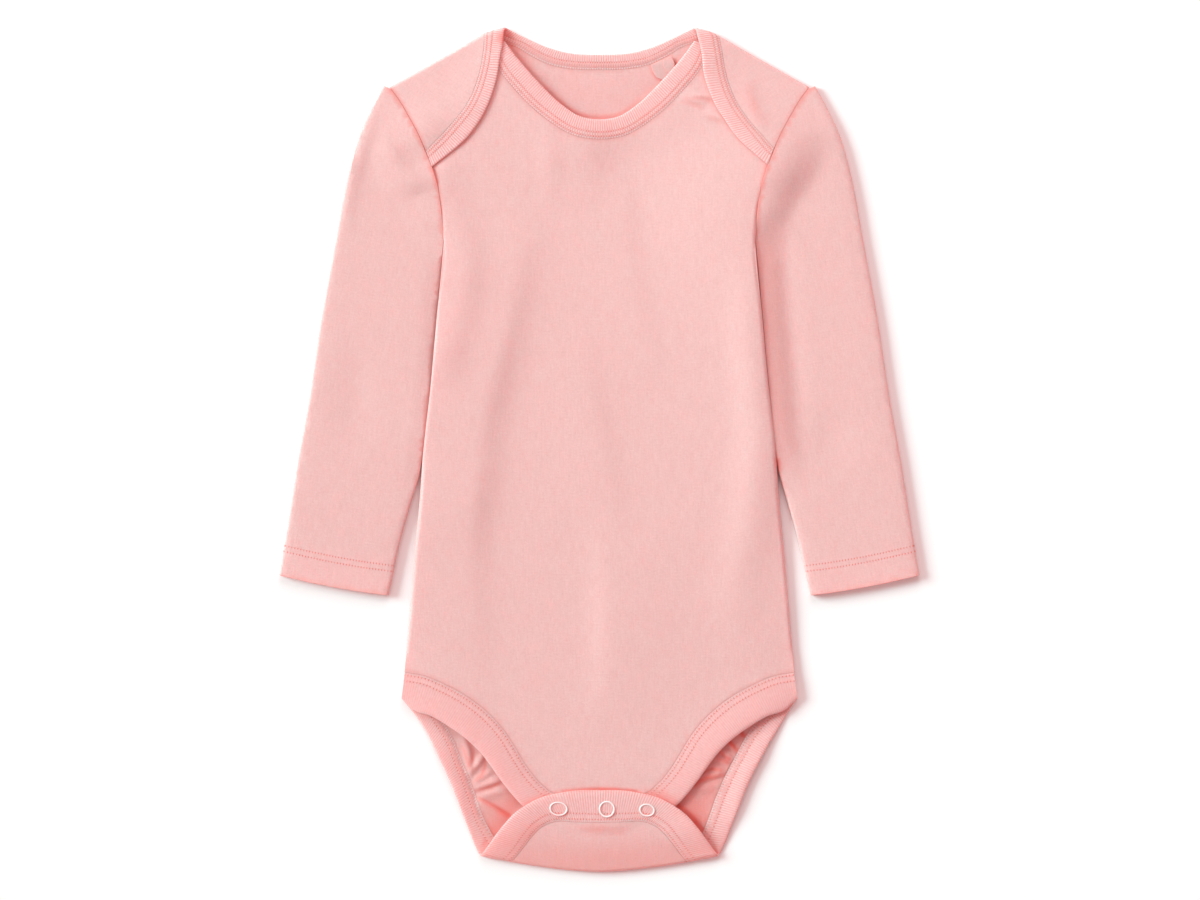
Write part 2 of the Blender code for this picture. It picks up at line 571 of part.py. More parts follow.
def tube_faces(rings, around, closed=False):
    """Quads between rings of equally many points, as triangles; ends are left open."""
    faces = []
    for i in range(rings if closed else rings - 1):
        for j in range(around):
            a, b = i * around + j, i * around + (j + 1) % around
            c, d = (i + 1) % rings * around + j, (i + 1) % rings * around + (j + 1) % around
            faces += [(a, b, d), (a, d, c)]
    return faces


# a binding's section, from the seam round the folded edge and back: (share of width, share of height)
BINDING_SECTION = [(0.0, -0.5), (0.55, -0.5), (0.94, -0.42), (1.0, 0.0),
                   (0.94, 0.42), (0.55, 0.5), (0.0, 0.5)]


def binding(name, surface, ribs, material):
    """A folded rib strip along a seam, its rounded fold on the free edge."""
    around = len(BINDING_SECTION)
    rings = len(ribs)
    seam, edge = ribs[:, :2], ribs[:, 2:]
    tangent = np.gradient(seam, axis=0)
    tangent /= np.linalg.norm(tangent, axis=1)[:, None]
    across = edge - seam
    square_width = np.abs(tangent[:, 0] * across[:, 1] - tangent[:, 1] * across[:, 0])
    start = (GAP / square_width)[:, None]
    rows = []
    for share, height in BINDING_SECTION:
        at = seam + (start + (1.0 - start) * share) * across
        rows.append(off_surface(surface, at, height * BINDING))
    points = np.stack(rows, axis=1).reshape(-1, 3)
    faces = tube_faces(rings, around)
    faces.append(list(range(around))[::-1])
    faces.append([(rings - 1) * around + k for k in range(around)])
    return add_object(name, points, faces, material)


# ================================================================== the pieces
def turned_ribs(turn, ribs):
    """Pattern places of ribs that lie on the top layer."""
    rows = np.array(ribs, float)
    return np.hstack([turn.unfold(rows[:, :2]), turn.unfold(rows[:, 2:])])


def front_neck_ribs():
    """Ribs of the front neck binding, left to right."""
    return smooth_curve(whole(FRONT_NECK), RIB_STEP)


def front_leg_ribs():
    """Ribs of the front leg binding: left leg, end of the tab, right leg."""
    return smooth_curve(whole(FRONT_LEG[::-1]), RIB_STEP)


def near_turn(xy):
    """Which pattern points lie where the cloth turns over."""
    near = np.zeros(len(xy), bool)
    for turn in TURNS:
        along, beyond = turn.split(xy)
        half_way = math.pi / 2 * turn.radius(along)
        near |= turn.holds(xy) & (np.abs(beyond - half_way) < half_way + 3.0)
    return near


def back_neck_ribs():
    """Ribs of the back neck binding in pattern places: left lap, back neck, right lap."""
    left = turned_ribs(TURN_LEFT, LAP_LEFT)[::-1]
    right = turned_ribs(TURN_RIGHT, LAP_RIGHT)
    fine = smooth_curve(np.vstack([left, whole(BACK_NECK), right]), FINE_STEP)
    kept = near_turn((fine[:, :2] + fine[:, 2:]) / 2) | (np.arange(len(fine)) % 4 == 0)
    kept[-1] = True
    return fine[kept]


def back_leg_ribs():
    """Ribs of the back leg binding in pattern places: right leg, flap, left leg.

    The second result has the points between the ribs as well where the gathers are.
    """
    right, left = np.array(BACK_LEG_RIGHT), np.array(BACK_LEG_LEFT)
    flap = turned_ribs(TURN_CROTCH, whole(FLAP[::-1]))[::-1]
    fine = smooth_curve(np.vstack([right, flap, left[::-1]]), FINE_STEP)
    kept = near_turn((fine[:, :2] + fine[:, 2:]) / 2) | (np.arange(len(fine)) % 4 == 0)
    kept[-1] = True
    waved = (np.abs(fine[:, 1] + 165.0) < 34.0) & (np.abs(fine[:, 0]) > 50.0)
    return fine[kept], fine[kept | waved]


def front_outline():
    """Outline of the front panel: neck, shoulder, armhole, side and leg on both sides."""
    neck = front_neck_ribs()[:, :2]
    along = np.arange(6.0, TURN_RIGHT.length, EDGE_STEP)
    shoulder = TURN_RIGHT.join(along, np.full(len(along), -SHOULDER_CLEAR))
    leg = front_leg_ribs()[:, :2][::-1]
    side = [smooth_curve(ARMHOLE, EDGE_STEP)[1:], smooth_curve(SIDE_SEAM, EDGE_STEP)[1:-1]]
    right = np.vstack([shoulder] + side)
    left = mirrored(right)[::-1]
    return np.vstack([neck, right, leg, left])


def back_outline():
    """Outline of the back in pattern places, with its laps and its flap unfolded."""
    armhole = smooth_curve(ARMHOLE, EDGE_STEP)
    lap_end = LAP_RIGHT[-1].seam_y
    upper = armhole[(armhole[:, 1] > lap_end + 2.0) & (armhole[:, 1] < SHOULDER_ARM.y - 4.0)]
    lap_edge = TURN_RIGHT.unfold(upper)[::-1]
    right = np.vstack([lap_edge, armhole, smooth_curve(SIDE_SEAM, EDGE_STEP)[1:-1]])
    left = mirrored(right)[::-1]
    leg = back_leg_ribs()[1][:, :2]
    return np.vstack([back_neck_ribs()[:, :2], right, leg, left])


def points_near(ridges, reach, step):
    """Closely set points along narrow folds, as far as they reach."""
    paths = [smooth_curve(ridge.points, 4.0)[:, :2] for ridge in ridges]
    ends = np.vstack(paths)
    grid = lattice(np.vstack([ends.min(0) - reach, ends.max(0) + reach]), step)
    away = np.min([nearest_on(path, grid)[0] for path in paths], axis=0)
    return grid[away < reach]


def turn_lines():
    """Lines along each turn that let the wall bend evenly."""
    lines = []
    for turn in TURNS:
        along = np.arange(-16.0, turn.length + 16.0, LAP_STEP)
        for k in range(TURN_STEPS + 1):
            lines.append(turn.join(along, math.pi * turn.radius(along) * k / TURN_STEPS))
    return lines


def clear_of(points, others, distance):
    """Those points that keep a distance from all the others."""
    away = np.linalg.norm(points[:, None] - others[None], axis=2)
    return points[away.min(1) > distance]


def make_front(material):
    """The front panel."""
    outline = front_outline()
    side_row = smooth_curve(ARMHOLE[-3:] + SIDE_SEAM[1:], EDGE_STEP)
    side_row = beside(side_row, -SIDE_ROUND)[1:-1]
    side_row = np.vstack([side_row, mirrored(side_row)])
    pressed = [ridge for ridge in FRONT_FOLDS if ridge.name == "under the left lap"]
    close = points_near(pressed, 12.0, LAP_BED_STEP)
    points = clear_of(lattice(outline, FRONT_STEP), close, 0.7 * LAP_BED_STEP)
    points = np.vstack([points, close])
    points = clear_of(points[inside(outline, points)], outline, 2.2)
    points = np.vstack([clear_of(points, side_row, 2.5), side_row])
    pattern, triangles, _ = cut_panel(outline, points)
    cloth_panel("front_panel", front_surface(WALL), pattern, triangles, material)


def make_back(material):
    """The back panel, turned over at the shoulders and at the crotch."""
    outline = back_outline()
    gathers = np.vstack([points_near(side, GATHER_REACH, FINE_STEP)
                         for side in (GATHERS_LEFT, GATHERS_RIGHT)])
    coarse = lattice(outline, BACK_STEP)
    beyond = np.max([np.where(t.holds(coarse), t.split(coarse)[1], -99.0) for t in TURNS], axis=0)
    coarse = coarse[beyond < -6.0]
    fine = lattice(outline, LAP_STEP)
    over = np.zeros(len(fine), bool)
    for turn in TURNS:
        along, beyond = turn.split(fine)
        over |= turn.holds(fine) & (beyond > math.pi * turn.radius(along) + 3.0)
    fine = fine[over]
    coarse = clear_of(coarse, gathers, 6.0)
    points = np.vstack([coarse, fine, gathers])
    points = clear_of(points[inside(outline, points)], outline, 1.2)
    pattern, triangles, _ = cut_panel(outline, points, turn_lines())
    cloth_panel("back_panel", back_surface(WALL), pattern, triangles, material)


def make_bindings(material):
    """The four rib strips."""
    on_front, on_back = front_surface(BINDING), back_surface(BINDING)
    binding("neck_binding_front", on_front, front_neck_ribs(), material)
    binding("neck_binding_back", on_back, back_neck_ribs(), material)
    binding("leg_binding_front", on_front, front_leg_ribs(), material)
    binding("leg_binding_back", on_back, back_leg_ribs()[0], material)


# ------------------------------------------------------------------ sleeves
OUTER_LINE = smooth_curve(SLEEVE_OUTER, 3.0)
INNER_LINE = smooth_curve(SLEEVE_INNER, 3.0)
ARMHOLE_LINE = smooth_curve(ARMHOLE, 3.0)


def armhole_depth(side):
    """Depth of the sleeve along the armhole line, where it meets the front and the lap."""
    y = ARMHOLE_LINE[:, 1]
    lap = (WALL + GAP) * ease((y - 134.0) / 10.0)
    binding_end = (BINDING - WALL) * np.exp(-((y - 151.0) / 6.0) ** 2)
    underarm = -1.6 * ease((125.0 - y) / 17.0)
    body = front_floor(beside(ARMHOLE_LINE, -3.5) * (side, 1))
    return body + lap + binding_end + underarm


def sleeve_depth(xy, sleeve):
    """From the middle of a sleeve's lower wall to the middle of its upper wall, right-hand plan."""
    from_edge = np.minimum(nearest_on(OUTER_LINE, xy)[0], nearest_on(INNER_LINE, xy)[0])
    from_seam, along, _ = nearest_on(ARMHOLE_LINE, xy)
    folds_at_seam = relief(sleeve.folds, ARMHOLE_LINE * (sleeve.side, 1))
    at_seam = armhole_depth(sleeve.side) - folds_at_seam
    at_seam = np.interp(along, marks_of(ARMHOLE_LINE), at_seam)
    free = SLEEVE_EDGE + sleeve.loft * ease(from_edge / SLEEVE_SHOULDER)
    upwards = ease((marks_of(ARMHOLE_LINE)[-1] - along) / 50.0)
    share = ease((from_seam / (sleeve.settle * (0.6 + 0.4 * upwards))) ** 1.4)
    return (1 - share) * at_seam + share * free + relief(sleeve.folds, xy * (sleeve.side, 1))


def edge_inset(line, sleeve):
    """An edge line with the sleeve on its left, moved in by the half round of its fold.

    Also the direction outwards at each of its points, and how far out and up the half round goes.
    """
    rise = sleeve_depth(line, sleeve) / 2
    reach = np.minimum(rise, EDGE_REACH)
    outward = line - beside(line, 1.0)
    return line - outward * (reach + WALL / 2)[:, None], outward, reach, rise


def smooth_normals(points, faces):
    """Normal at each point of a triangle mesh, weighted by the area of its faces."""
    tri = np.array(faces)
    a, b, c = points[tri[:, 0]], points[tri[:, 1]], points[tri[:, 2]]
    across = np.cross(b - a, c - a)
    normals = np.zeros_like(points)
    for k in range(3):
        np.add.at(normals, tri[:, k], across)
    return normals / np.linalg.norm(normals, axis=1)[:, None]


def make_sleeve(name, sleeve, material):
    """One sleeve: a flattened tube, open at the armhole and at the cuff, with a turned-up hem."""
    outer = edge_inset(smooth_curve(SLEEVE_OUTER, SLEEVE_STEP)[::-1], sleeve)
    inner = edge_inset(smooth_curve(SLEEVE_INNER, SLEEVE_STEP), sleeve)
    seam = beside(smooth_curve(ARMHOLE, EDGE_STEP), SLEEVE_GAP)[1:-1]
    cuff = smooth_curve(CUFF, SLEEVE_STEP)[::-1][1:-1]
    outline = np.vstack([outer[0], seam, inner[0], cuff])
    points = lattice(outline, SLEEVE_STEP)
    points = clear_of(points[inside(outline, points)], outline, 0.4 * SLEEVE_STEP)
    plan, triangles, number = cut_panel(outline, points)
    count = len(plan)
    upper = np.column_stack([plan, WALL / 2 + sleeve_depth(plan, sleeve)])
    lower = np.column_stack([plan, np.full(count, WALL / 2)])
    middle = [upper, lower]
    faces = [tuple(face) for face in triangles]
    faces += [tuple(c + count for c in reversed(face)) for face in triangles]
    total = 2 * count
    first_inner = len(outer[0]) + len(seam)
    for first, (line, out, reach, rise) in ((0, outer), (first_inner, inner)):
        rows = [number[first:first + len(line)]]
        for k in range(1, SLEEVE_EDGE_STEPS):
            angle = math.pi * k / SLEEVE_EDGE_STEPS
            flat = line + out * (reach * math.sin(angle))[:, None]
            height = WALL / 2 + rise * (1 + math.cos(angle))
            middle.append(np.column_stack([flat, height]))
            rows.append(list(range(total, total + len(line))))
            total += len(line)
        rows.append([k + count for k in rows[0]])
        for above, below in zip(rows, rows[1:]):
            for k in range(len(line) - 1):
                faces += [(above[k], below[k], below[k + 1]), (above[k], below[k + 1], above[k + 1])]
    middle = np.vstack(middle)
    normals = smooth_normals(middle, faces)
    hem = ease((HEM_DEPTH + HEM_BLEND - nearest_on(smooth_curve(CUFF, 3.0), middle[:, :2])[0])
               / HEM_BLEND)
    outside = middle + normals * WALL / 2
    inside_wall = middle - normals * (WALL / 2 + HEM_EXTRA * hem)[:, None]
    points = np.vstack([outside, inside_wall]) * (sleeve.side, 1, 1)
    add_object(name, points, wall_faces(faces, total), material)


# ------------------------------------------------------------------ snaps and tape
def make_snap(snap, material):
    """An open ring on the flap's binding, very slightly oval as the cloth tilts it."""
    parts, sides = 20, 6
    center = np.array([[snap.x, snap.y]])
    top = flap_floor(center)[0] + BINDING
    tilt = math.radians(snap.turn)
    points = []
    for k in range(parts):
        angle = 2 * math.pi * k / parts
        for j in range(sides):
            wire = 2 * math.pi * (j + 0.5) / sides
            x = (snap.across / 2 - SNAP_WIRE + SNAP_WIRE * math.cos(wire)) * math.cos(angle)
            y = (snap.along / 2 - SNAP_WIRE + SNAP_WIRE * math.cos(wire)) * math.sin(angle)
            points.append((snap.x + x * math.cos(tilt) - y * math.sin(tilt),
                           snap.y + x * math.sin(tilt) + y * math.cos(tilt),
                           top + GAP + SNAP_WIRE * (1 + math.sin(wire))))
    add_object(snap.name, np.array(points), tube_faces(parts, sides, closed=True), material)


def make_tape(material):
    """The folded neck tape, caught under the back neck binding and lying on the back's inside."""
    corners = np.array(TAPE)
    count = len(corners)
    low = np.column_stack([corners, np.full(count, WALL + GAP)])
    high = low + (0, 0, TAPE_THICKNESS)
    faces = [list(range(count)), list(range(2 * count - 1, count - 1, -1))]
    faces += [(k, (k + 1) % count, (k + 1) % count + count, k + count) for k in range(count)]
    add_object("neck_tape", np.vstack([low, high]), faces, material)


def main():
    """Clear the scene and make every piece."""
    for item in list(bpy.data.objects):
        bpy.data.objects.remove(item, do_unlink=True)
    jersey = finish("pink interlock", PINK)
    rib = finish("pink rib", PINK_RIB)
    enamel = finish("pale enamel", PALE, roughness=0.35)
    make_back(jersey)
    make_front(jersey)
    make_sleeve("sleeve_left", SLEEVE_LEFT, jersey)
    make_sleeve("sleeve_right", SLEEVE_RIGHT, jersey)
    make_bindings(rib)
    for snap in SNAPS:
        make_snap(snap, enamel)
    make_tape(jersey)


main()
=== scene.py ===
# %% [markdown]
# # A baby bodysuit, laid flat
# A long-sleeved cotton bodysuit lies flat on its back. The solid parts of it are already there as
# a frame: each panel, sleeve, binding and snap has its place and its size. This lesson gives every
# one of them its cloth. All sizes are in millimetres, x to the right, y towards the neck, z up, and
# one factor turns them into Blender's metres when a mesh is made.

# %% Load the frame
import math
from collections import namedtuple

import bpy
import numpy as np
from mathutils.geometry import delaunay_2d_cdt
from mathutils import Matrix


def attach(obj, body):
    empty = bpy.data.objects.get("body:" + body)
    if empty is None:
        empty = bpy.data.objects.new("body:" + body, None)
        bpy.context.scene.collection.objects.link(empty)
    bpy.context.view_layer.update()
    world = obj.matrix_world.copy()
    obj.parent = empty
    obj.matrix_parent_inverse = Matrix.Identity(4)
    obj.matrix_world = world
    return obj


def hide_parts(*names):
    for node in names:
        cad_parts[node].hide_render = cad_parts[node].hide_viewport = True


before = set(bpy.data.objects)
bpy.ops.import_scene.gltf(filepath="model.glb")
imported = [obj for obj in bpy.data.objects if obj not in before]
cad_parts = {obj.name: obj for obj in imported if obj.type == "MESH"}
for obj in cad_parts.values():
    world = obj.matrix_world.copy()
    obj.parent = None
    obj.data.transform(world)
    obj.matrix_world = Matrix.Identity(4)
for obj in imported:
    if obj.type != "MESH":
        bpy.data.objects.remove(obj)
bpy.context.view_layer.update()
MM = 0.001
print("nodes in the frame:", ", ".join(sorted(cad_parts)))

# %% [markdown]
# ## Camera, floor and light
# The garment is seen from straight above. A long lens far away keeps the picture free of
# perspective, as a copy stand does. The floor is plain and pale. Soft parallel light that comes
# low from the left gives the folds their shading, a wide lamp above the neck adds a little, and
# the even light of the room does the rest. The room's light is warm, so the shades keep their pink,
# and the key light is cool by as much, so that open cloth isn't tinted.

# %% Camera
FRAME_WIDTH = 626.4         # how much the picture shows from side to side
CAMERA_PLACE = (0.3, -0.3, 2600.0)
SENSOR = 36.0
SEES_AS_FAR_AS = 20.0       # metres

camera_data = bpy.data.cameras.new("camera")
camera_data.sensor_width = SENSOR
camera_data.lens = SENSOR * CAMERA_PLACE[2] / FRAME_WIDTH
camera_data.clip_end = SEES_AS_FAR_AS
camera = bpy.data.objects.new("camera", camera_data)
camera.location = [c * MM for c in CAMERA_PLACE]
bpy.context.collection.objects.link(camera)
bpy.context.scene.camera = camera
print("lens", round(camera_data.lens, 1), "mm")

# %% Floor and lights
FLOOR_TONE = (0.95, 0.95, 0.95)
FLOOR_SIZE = 6.0            # metres
FLOOR_BELOW = 0.4           # so that the floor and the cloth on it don't meet
KEY_FROM = (-3.5, 1.2, 2.0)     # the side that the parallel light comes from
KEY_POWER = 3.4
KEY_SPREAD = 0.5            # radians: the wider, the softer the shadows' edges
KEY_COLOR = (0.66, 1.0, 1.0)
TOP_PLACE = (0.0, 1.5, 1.2)     # metres, above the neck
TOP_POWER = 12.0
TOP_SIZE = 1.2
ROOM_COLOR = (1.0, 0.66, 0.65, 1.0)
ROOM_STRENGTH = 0.63


def lamp(name, kind, place, power):
    """A lamp that looks at the middle of the garment."""
    data = bpy.data.lights.new(name, kind)
    data.energy = power
    item = bpy.data.objects.new(name, data)
    item.location = place
    item.rotation_euler = (-item.location).to_track_quat("-Z", "Y").to_euler()
    bpy.context.collection.objects.link(item)
    return data


def plain_material(name, color, roughness):
    """A material with a Principled shader and nothing else yet."""
    material = bpy.data.materials.new(name)
    material.use_nodes = True
    shader = material.node_tree.nodes["Principled BSDF"]
    shader.inputs["Base Color"].default_value = (*color, 1.0)
    shader.inputs["Roughness"].default_value = roughness
    return material


bpy.ops.mesh.primitive_plane_add(size=FLOOR_SIZE, location=(0, 0, -FLOOR_BELOW * MM))
floor = bpy.context.active_object
floor.name = "floor"
floor.data.materials.append(plain_material("pale floor", FLOOR_TONE, 0.9))

key = lamp("key", "SUN", KEY_FROM, KEY_POWER)
key.angle = KEY_SPREAD
key.color = KEY_COLOR
lamp("top", "AREA", TOP_PLACE, TOP_POWER).size = TOP_SIZE
world = bpy.data.worlds.new("room")
bpy.context.scene.world = world
world.use_nodes = True
room = world.node_tree.nodes["Background"].inputs
room["Color"].default_value = ROOM_COLOR
room["Strength"].default_value = ROOM_STRENGTH
bpy.context.scene.view_settings.view_transform = "Standard"
print("floor, two lamps and an even room light")

# %% [markdown]
# ## Sizes
# Interlock is a smooth double knit about a millimetre thick. The edges of the neck and of the legs
# are caught in a folded strip of rib, and the cuffs are turned up and sewn. What lies on something
# keeps 0.2 mm above it.

# %% Sizes
WALL = 1.0                  # cotton interlock
BINDING = 1.3               # folded rib strip with the panel's edge inside it, pressed flat
GAP = 0.2                   # between neighbouring pieces
SLEEVE_GAP = 0.3            # where the sleeve bends down towards its seam
HEM_DEPTH = 15.0            # turned-up sleeve hem
HEM_EXTRA = 0.4             # what the turned-up layer adds inside
HEM_BLEND = 5.0             # over which that layer ends
FRONT_LOFT = 1.8            # how far the front stands off the back
SIDE_ROUND = 1.6            # over which it comes down to the side seams
SIDE_LOW = 0.3              # share of its height that is left at the seam
SIDE_HELD = 0.52            # and what a sleeve that lies beside the seam adds to that
SHOULDER_REACH = 34.0       # over which it comes down to the shoulder folds
SLEEVE_EDGE = 3.2           # middle of one wall to middle of the other, at the sleeve's edges
SLEEVE_SHOULDER = 9.0       # over which a sleeve's loft rises from its edges
EDGE_REACH = 0.7            # how far the half round of a sleeve's edge reaches out at most
EDGE_PRESSED = 0.45         # how much less it is where the sleeve lies beside the body
BESIDE_LOW = 0.6            # and how much lower the sleeve is there
BODY_BESIDE = (-20.0, 5.0)      # y where a sleeve starts to hold the body's side, and does so fully
SLEEVE_BESIDE = (-30.0, -10.0)  # and the same for the sleeve's own edge
CROTCH_Y = -220.9           # lowest point of the crotch fold
CROTCH_RISE = 8.4           # how far the fold curves up at its ends
CROTCH_BEND = 1.6           # how late that curve rises: 1 is a straight line
CROTCH_HALF = 63.0          # half the width of the fold
FLAP_CLIMB = 21.0           # from the fold to where the flap lies on the tab

EDGE_STEP = 2.4             # from point to point on an outline
CLOTH_STEP = 2.6            # on a surface
CREASE_STEP = 0.9           # along narrow folds
HIDDEN_STEP = 9.0           # where nobody sees it
RIB_STEP = 1.6              # along a binding
LINE_STEP = 3.0             # on a line that distances are measured from
PATH_STEP = 4.0             # on the path of a fold
TURN_STEPS = 12             # round a fold of the back
ROUND_STEPS = 6             # round the edge of a sleeve

Point = namedtuple("Point", "x y")
Rib = namedtuple("Rib", "seam_x seam_y edge_x edge_y")
Ridge = namedtuple("Ridge", "name left right points")       # left and right are its two widths
# A sleeve's side is -1 or 1, and it has its own depth from `settle` mm away from its armhole.
Sleeve = namedtuple("Sleeve", "word side loft settle folds")
Snap = namedtuple("Snap", "name x y across along turn")     # turn is in degrees
print("a wall of", WALL, "mm, and", BINDING, "mm where rib is folded round it")

# %% [markdown]
# ## The cut of the garment
# Both halves are alike unless a table says which side it is for, so most tables give the right
# half. A binding is given rib by rib: where each rib starts at the seam and where it ends on the
# folded edge. The lines could be drawn by hand as curve objects. Tables are used because a panel,
# its binding and its stitches then all read the same seam.

# %% Panels and sleeves
SHOULDER_CLEAR = 0.8                    # from the front's shoulder edge to the axis of the turn
SHOULDER_ARM = Point(109.5, 189.5)      # where the shoulder fold meets the sleeve
SHOULDER_NECK = Point(60.5, 217.0)      # where the shoulder fold starts to round towards the neck

ARMHOLE = [                             # shoulder to underarm
    Point(109.5, 189.5), Point(103.8, 181.5), Point(98.7, 172.7), Point(94.0, 164.0),
    Point(90.7, 156.0), Point(87.0, 147.0), Point(84.5, 139.0), Point(82.5, 127.5),
    Point(80.8, 108.0)]

SIDE_SEAM = [                           # underarm to the leg
    Point(80.8, 108.0), Point(84.0, 72.5), Point(87.5, 34.0), Point(91.5, -2.0),
    Point(93.3, -26.5), Point(96.3, -57.5), Point(98.0, -78.5), Point(99.8, -99.5),
    Point(101.4, -116.0)]

SLEEVE_OUTER = [                        # shoulder to cuff
    Point(112.6, 189.4), Point(117.0, 181.5), Point(126.2, 161.5), Point(131.8, 140.5),
    Point(137.5, 109.5), Point(145.2, 67.5), Point(151.5, 26.0), Point(157.2, -5.5),
    Point(162.2, -37.0), Point(166.9, -65.5)]

SLEEVE_INNER = [                        # underarm to cuff, beside the body as far as y -10
    Point(80.95, 107.0), Point(84.1, 72.5), Point(87.6, 34.0), Point(91.6, -2.0),
    Point(93.5, -12.0), Point(97.8, -26.5), Point(103.6, -47.0), Point(108.0, -67.0),
    Point(110.0, -76.0)]

CUFF = [                                # outer edge to inner edge
    Point(166.9, -65.5), Point(148.0, -69.8), Point(126.2, -73.8), Point(110.0, -76.0)]
print("from cuff to cuff", 2 * CUFF[0].x, "mm, across the legs", 2 * SIDE_SEAM[-1].x, "mm")

# %% Bindings
FRONT_NECK = [                          # middle to right shoulder
    Rib(0.0, 161.5, 0.0, 172.0), Rib(14.5, 164.0, 11.0, 174.0), Rib(25.5, 170.5, 20.0, 180.0),
    Rib(36.5, 179.5, 28.5, 188.0), Rib(44.5, 188.0, 36.0, 196.0), Rib(52.8, 198.5, 44.0, 205.5),
    Rib(57.5, 210.0, 49.5, 213.0)]

BACK_NECK = [                           # middle to right shoulder
    Rib(0.0, 198.0, 0.0, 206.0), Rib(14.7, 198.5, 13.7, 206.5), Rib(26.0, 200.7, 22.5, 208.3),
    Rib(35.2, 205.0, 30.5, 211.0), Rib(43.2, 209.8, 38.7, 214.8), Rib(51.0, 212.5, 44.5, 217.6)]

LAP_LEFT = [                            # shoulder fold to armhole, on the top layer
    Rib(-60.5, 208.0, -51.0, 208.0), Rib(-62.5, 197.0, -53.0, 195.5),
    Rib(-69.5, 179.5, -60.5, 174.5), Rib(-77.0, 170.0, -68.5, 163.0),
    Rib(-90.5, 155.8, -87.1, 147.2)]

LAP_RIGHT = [
    Rib(64.0, 207.5, 53.0, 207.5), Rib(66.0, 196.0, 54.5, 195.0), Rib(69.8, 184.5, 59.0, 182.0),
    Rib(76.0, 174.0, 65.0, 172.0), Rib(84.0, 164.5, 73.5, 160.5), Rib(90.8, 156.8, 87.4, 148.2)]

FRONT_LEG = [                           # side seam to the middle of the tab
    Rib(101.4, -116.0, 103.2, -130.0), Rib(90.5, -118.0, 96.0, -136.2),
    Rib(80.0, -122.5, 88.0, -138.8), Rib(67.5, -129.5, 77.5, -145.0),
    Rib(57.0, -138.0, 69.0, -151.2), Rib(49.0, -147.0, 62.0, -158.0),
    Rib(43.0, -156.5, 57.0, -164.5), Rib(36.8, -166.5, 51.0, -173.0),
    Rib(30.0, -174.5, 45.0, -180.5), Rib(23.5, -179.3, 39.2, -186.5),
    Rib(16.5, -180.5, 28.5, -194.5), Rib(0.0, -180.5, 0.0, -196.0)]

BACK_LEG_LEFT = [                       # side seam to crotch fold, under layer
    Rib(-101.4, -116.0, -103.2, -130.0), Rib(-89.5, -130.0, -94.5, -141.0),
    Rib(-82.5, -140.0, -89.5, -149.0), Rib(-77.0, -149.0, -85.0, -158.5),
    Rib(-72.5, -160.0, -80.5, -168.0), Rib(-67.5, -171.5, -76.5, -177.0),
    Rib(-64.0, -181.5, -72.5, -187.5), Rib(-60.0, -192.5, -69.0, -196.5),
    Rib(-53.5, -204.5, -65.3, -206.0)]

BACK_LEG_RIGHT = [
    Rib(101.4, -116.0, 103.2, -130.0), Rib(90.5, -132.5, 97.0, -139.5),
    Rib(84.0, -139.0, 92.5, -147.0), Rib(77.5, -147.5, 88.0, -154.5),
    Rib(71.5, -158.5, 83.0, -164.0), Rib(65.5, -170.0, 77.5, -175.0),
    Rib(60.5, -181.5, 73.3, -185.5), Rib(57.0, -191.5, 69.8, -194.5),
    Rib(52.0, -204.0, 65.6, -205.5)]

FLAP = [                                # crotch fold to the middle of the flap, on the top layer
    Rib(41.0, -209.5, 57.3, -205.5), Rib(36.0, -203.0, 51.5, -197.5),
    Rib(30.0, -197.0, 43.0, -188.5), Rib(22.5, -194.0, 31.0, -181.5),
    Rib(13.5, -194.2, 17.5, -178.3), Rib(0.0, -194.5, 0.0, -177.5)]
print("the neck's binding is", FRONT_NECK[0].edge_y - FRONT_NECK[0].seam_y, "mm wide in front,",
      "the flap's", FLAP[-1].edge_y - FLAP[-1].seam_y, "mm")

# %% [markdown]
# ## Folds of the cloth
# The front doesn't lie dead flat. Long soft folds run down it, its neck and leg edges stand off the
# layer below, and small creases start at the seams. Each ridge runs through its points (x, y,
# height), the long ones towards the neck, and a trough is a ridge with a height below zero. The two
# widths say how softly it falls off to its left and to its right. Folds could also be sculpted, or
# left to a cloth simulation. In a table each one stays where it is put and can be changed alone.

# %% Folds
def both_sides(name, width, points):
    """The same ridge on the left and on the right, given for the right."""
    return [Ridge(f"{word} {name}", width, width, [(side * x, y, height) for x, y, height in points])
            for word, side in (("left", -1), ("right", 1))]


FRONT_EDGES = [                         # along the neck, the legs and the tab
    Ridge("neck edge", 17, 17, [
        (-50, 198, 0.7), (-30, 176, 0.9), (0, 166, 1.0), (30, 176, 0.9), (50, 198, 0.7)]),
    *both_sides("shoulder corner", 10, [(52, 214, 0.6), (53, 205, 0.6)]),
    *both_sides("leg edge", 11, [
        (104, -122, 0.9), (92, -134, 0.9), (70, -148, 1.2), (56, -163, 1.2), (46, -178, 0.5)]),
    Ridge("tab", 15, 15, [(-28, -199, -1.0), (28, -199, -1.0)])]

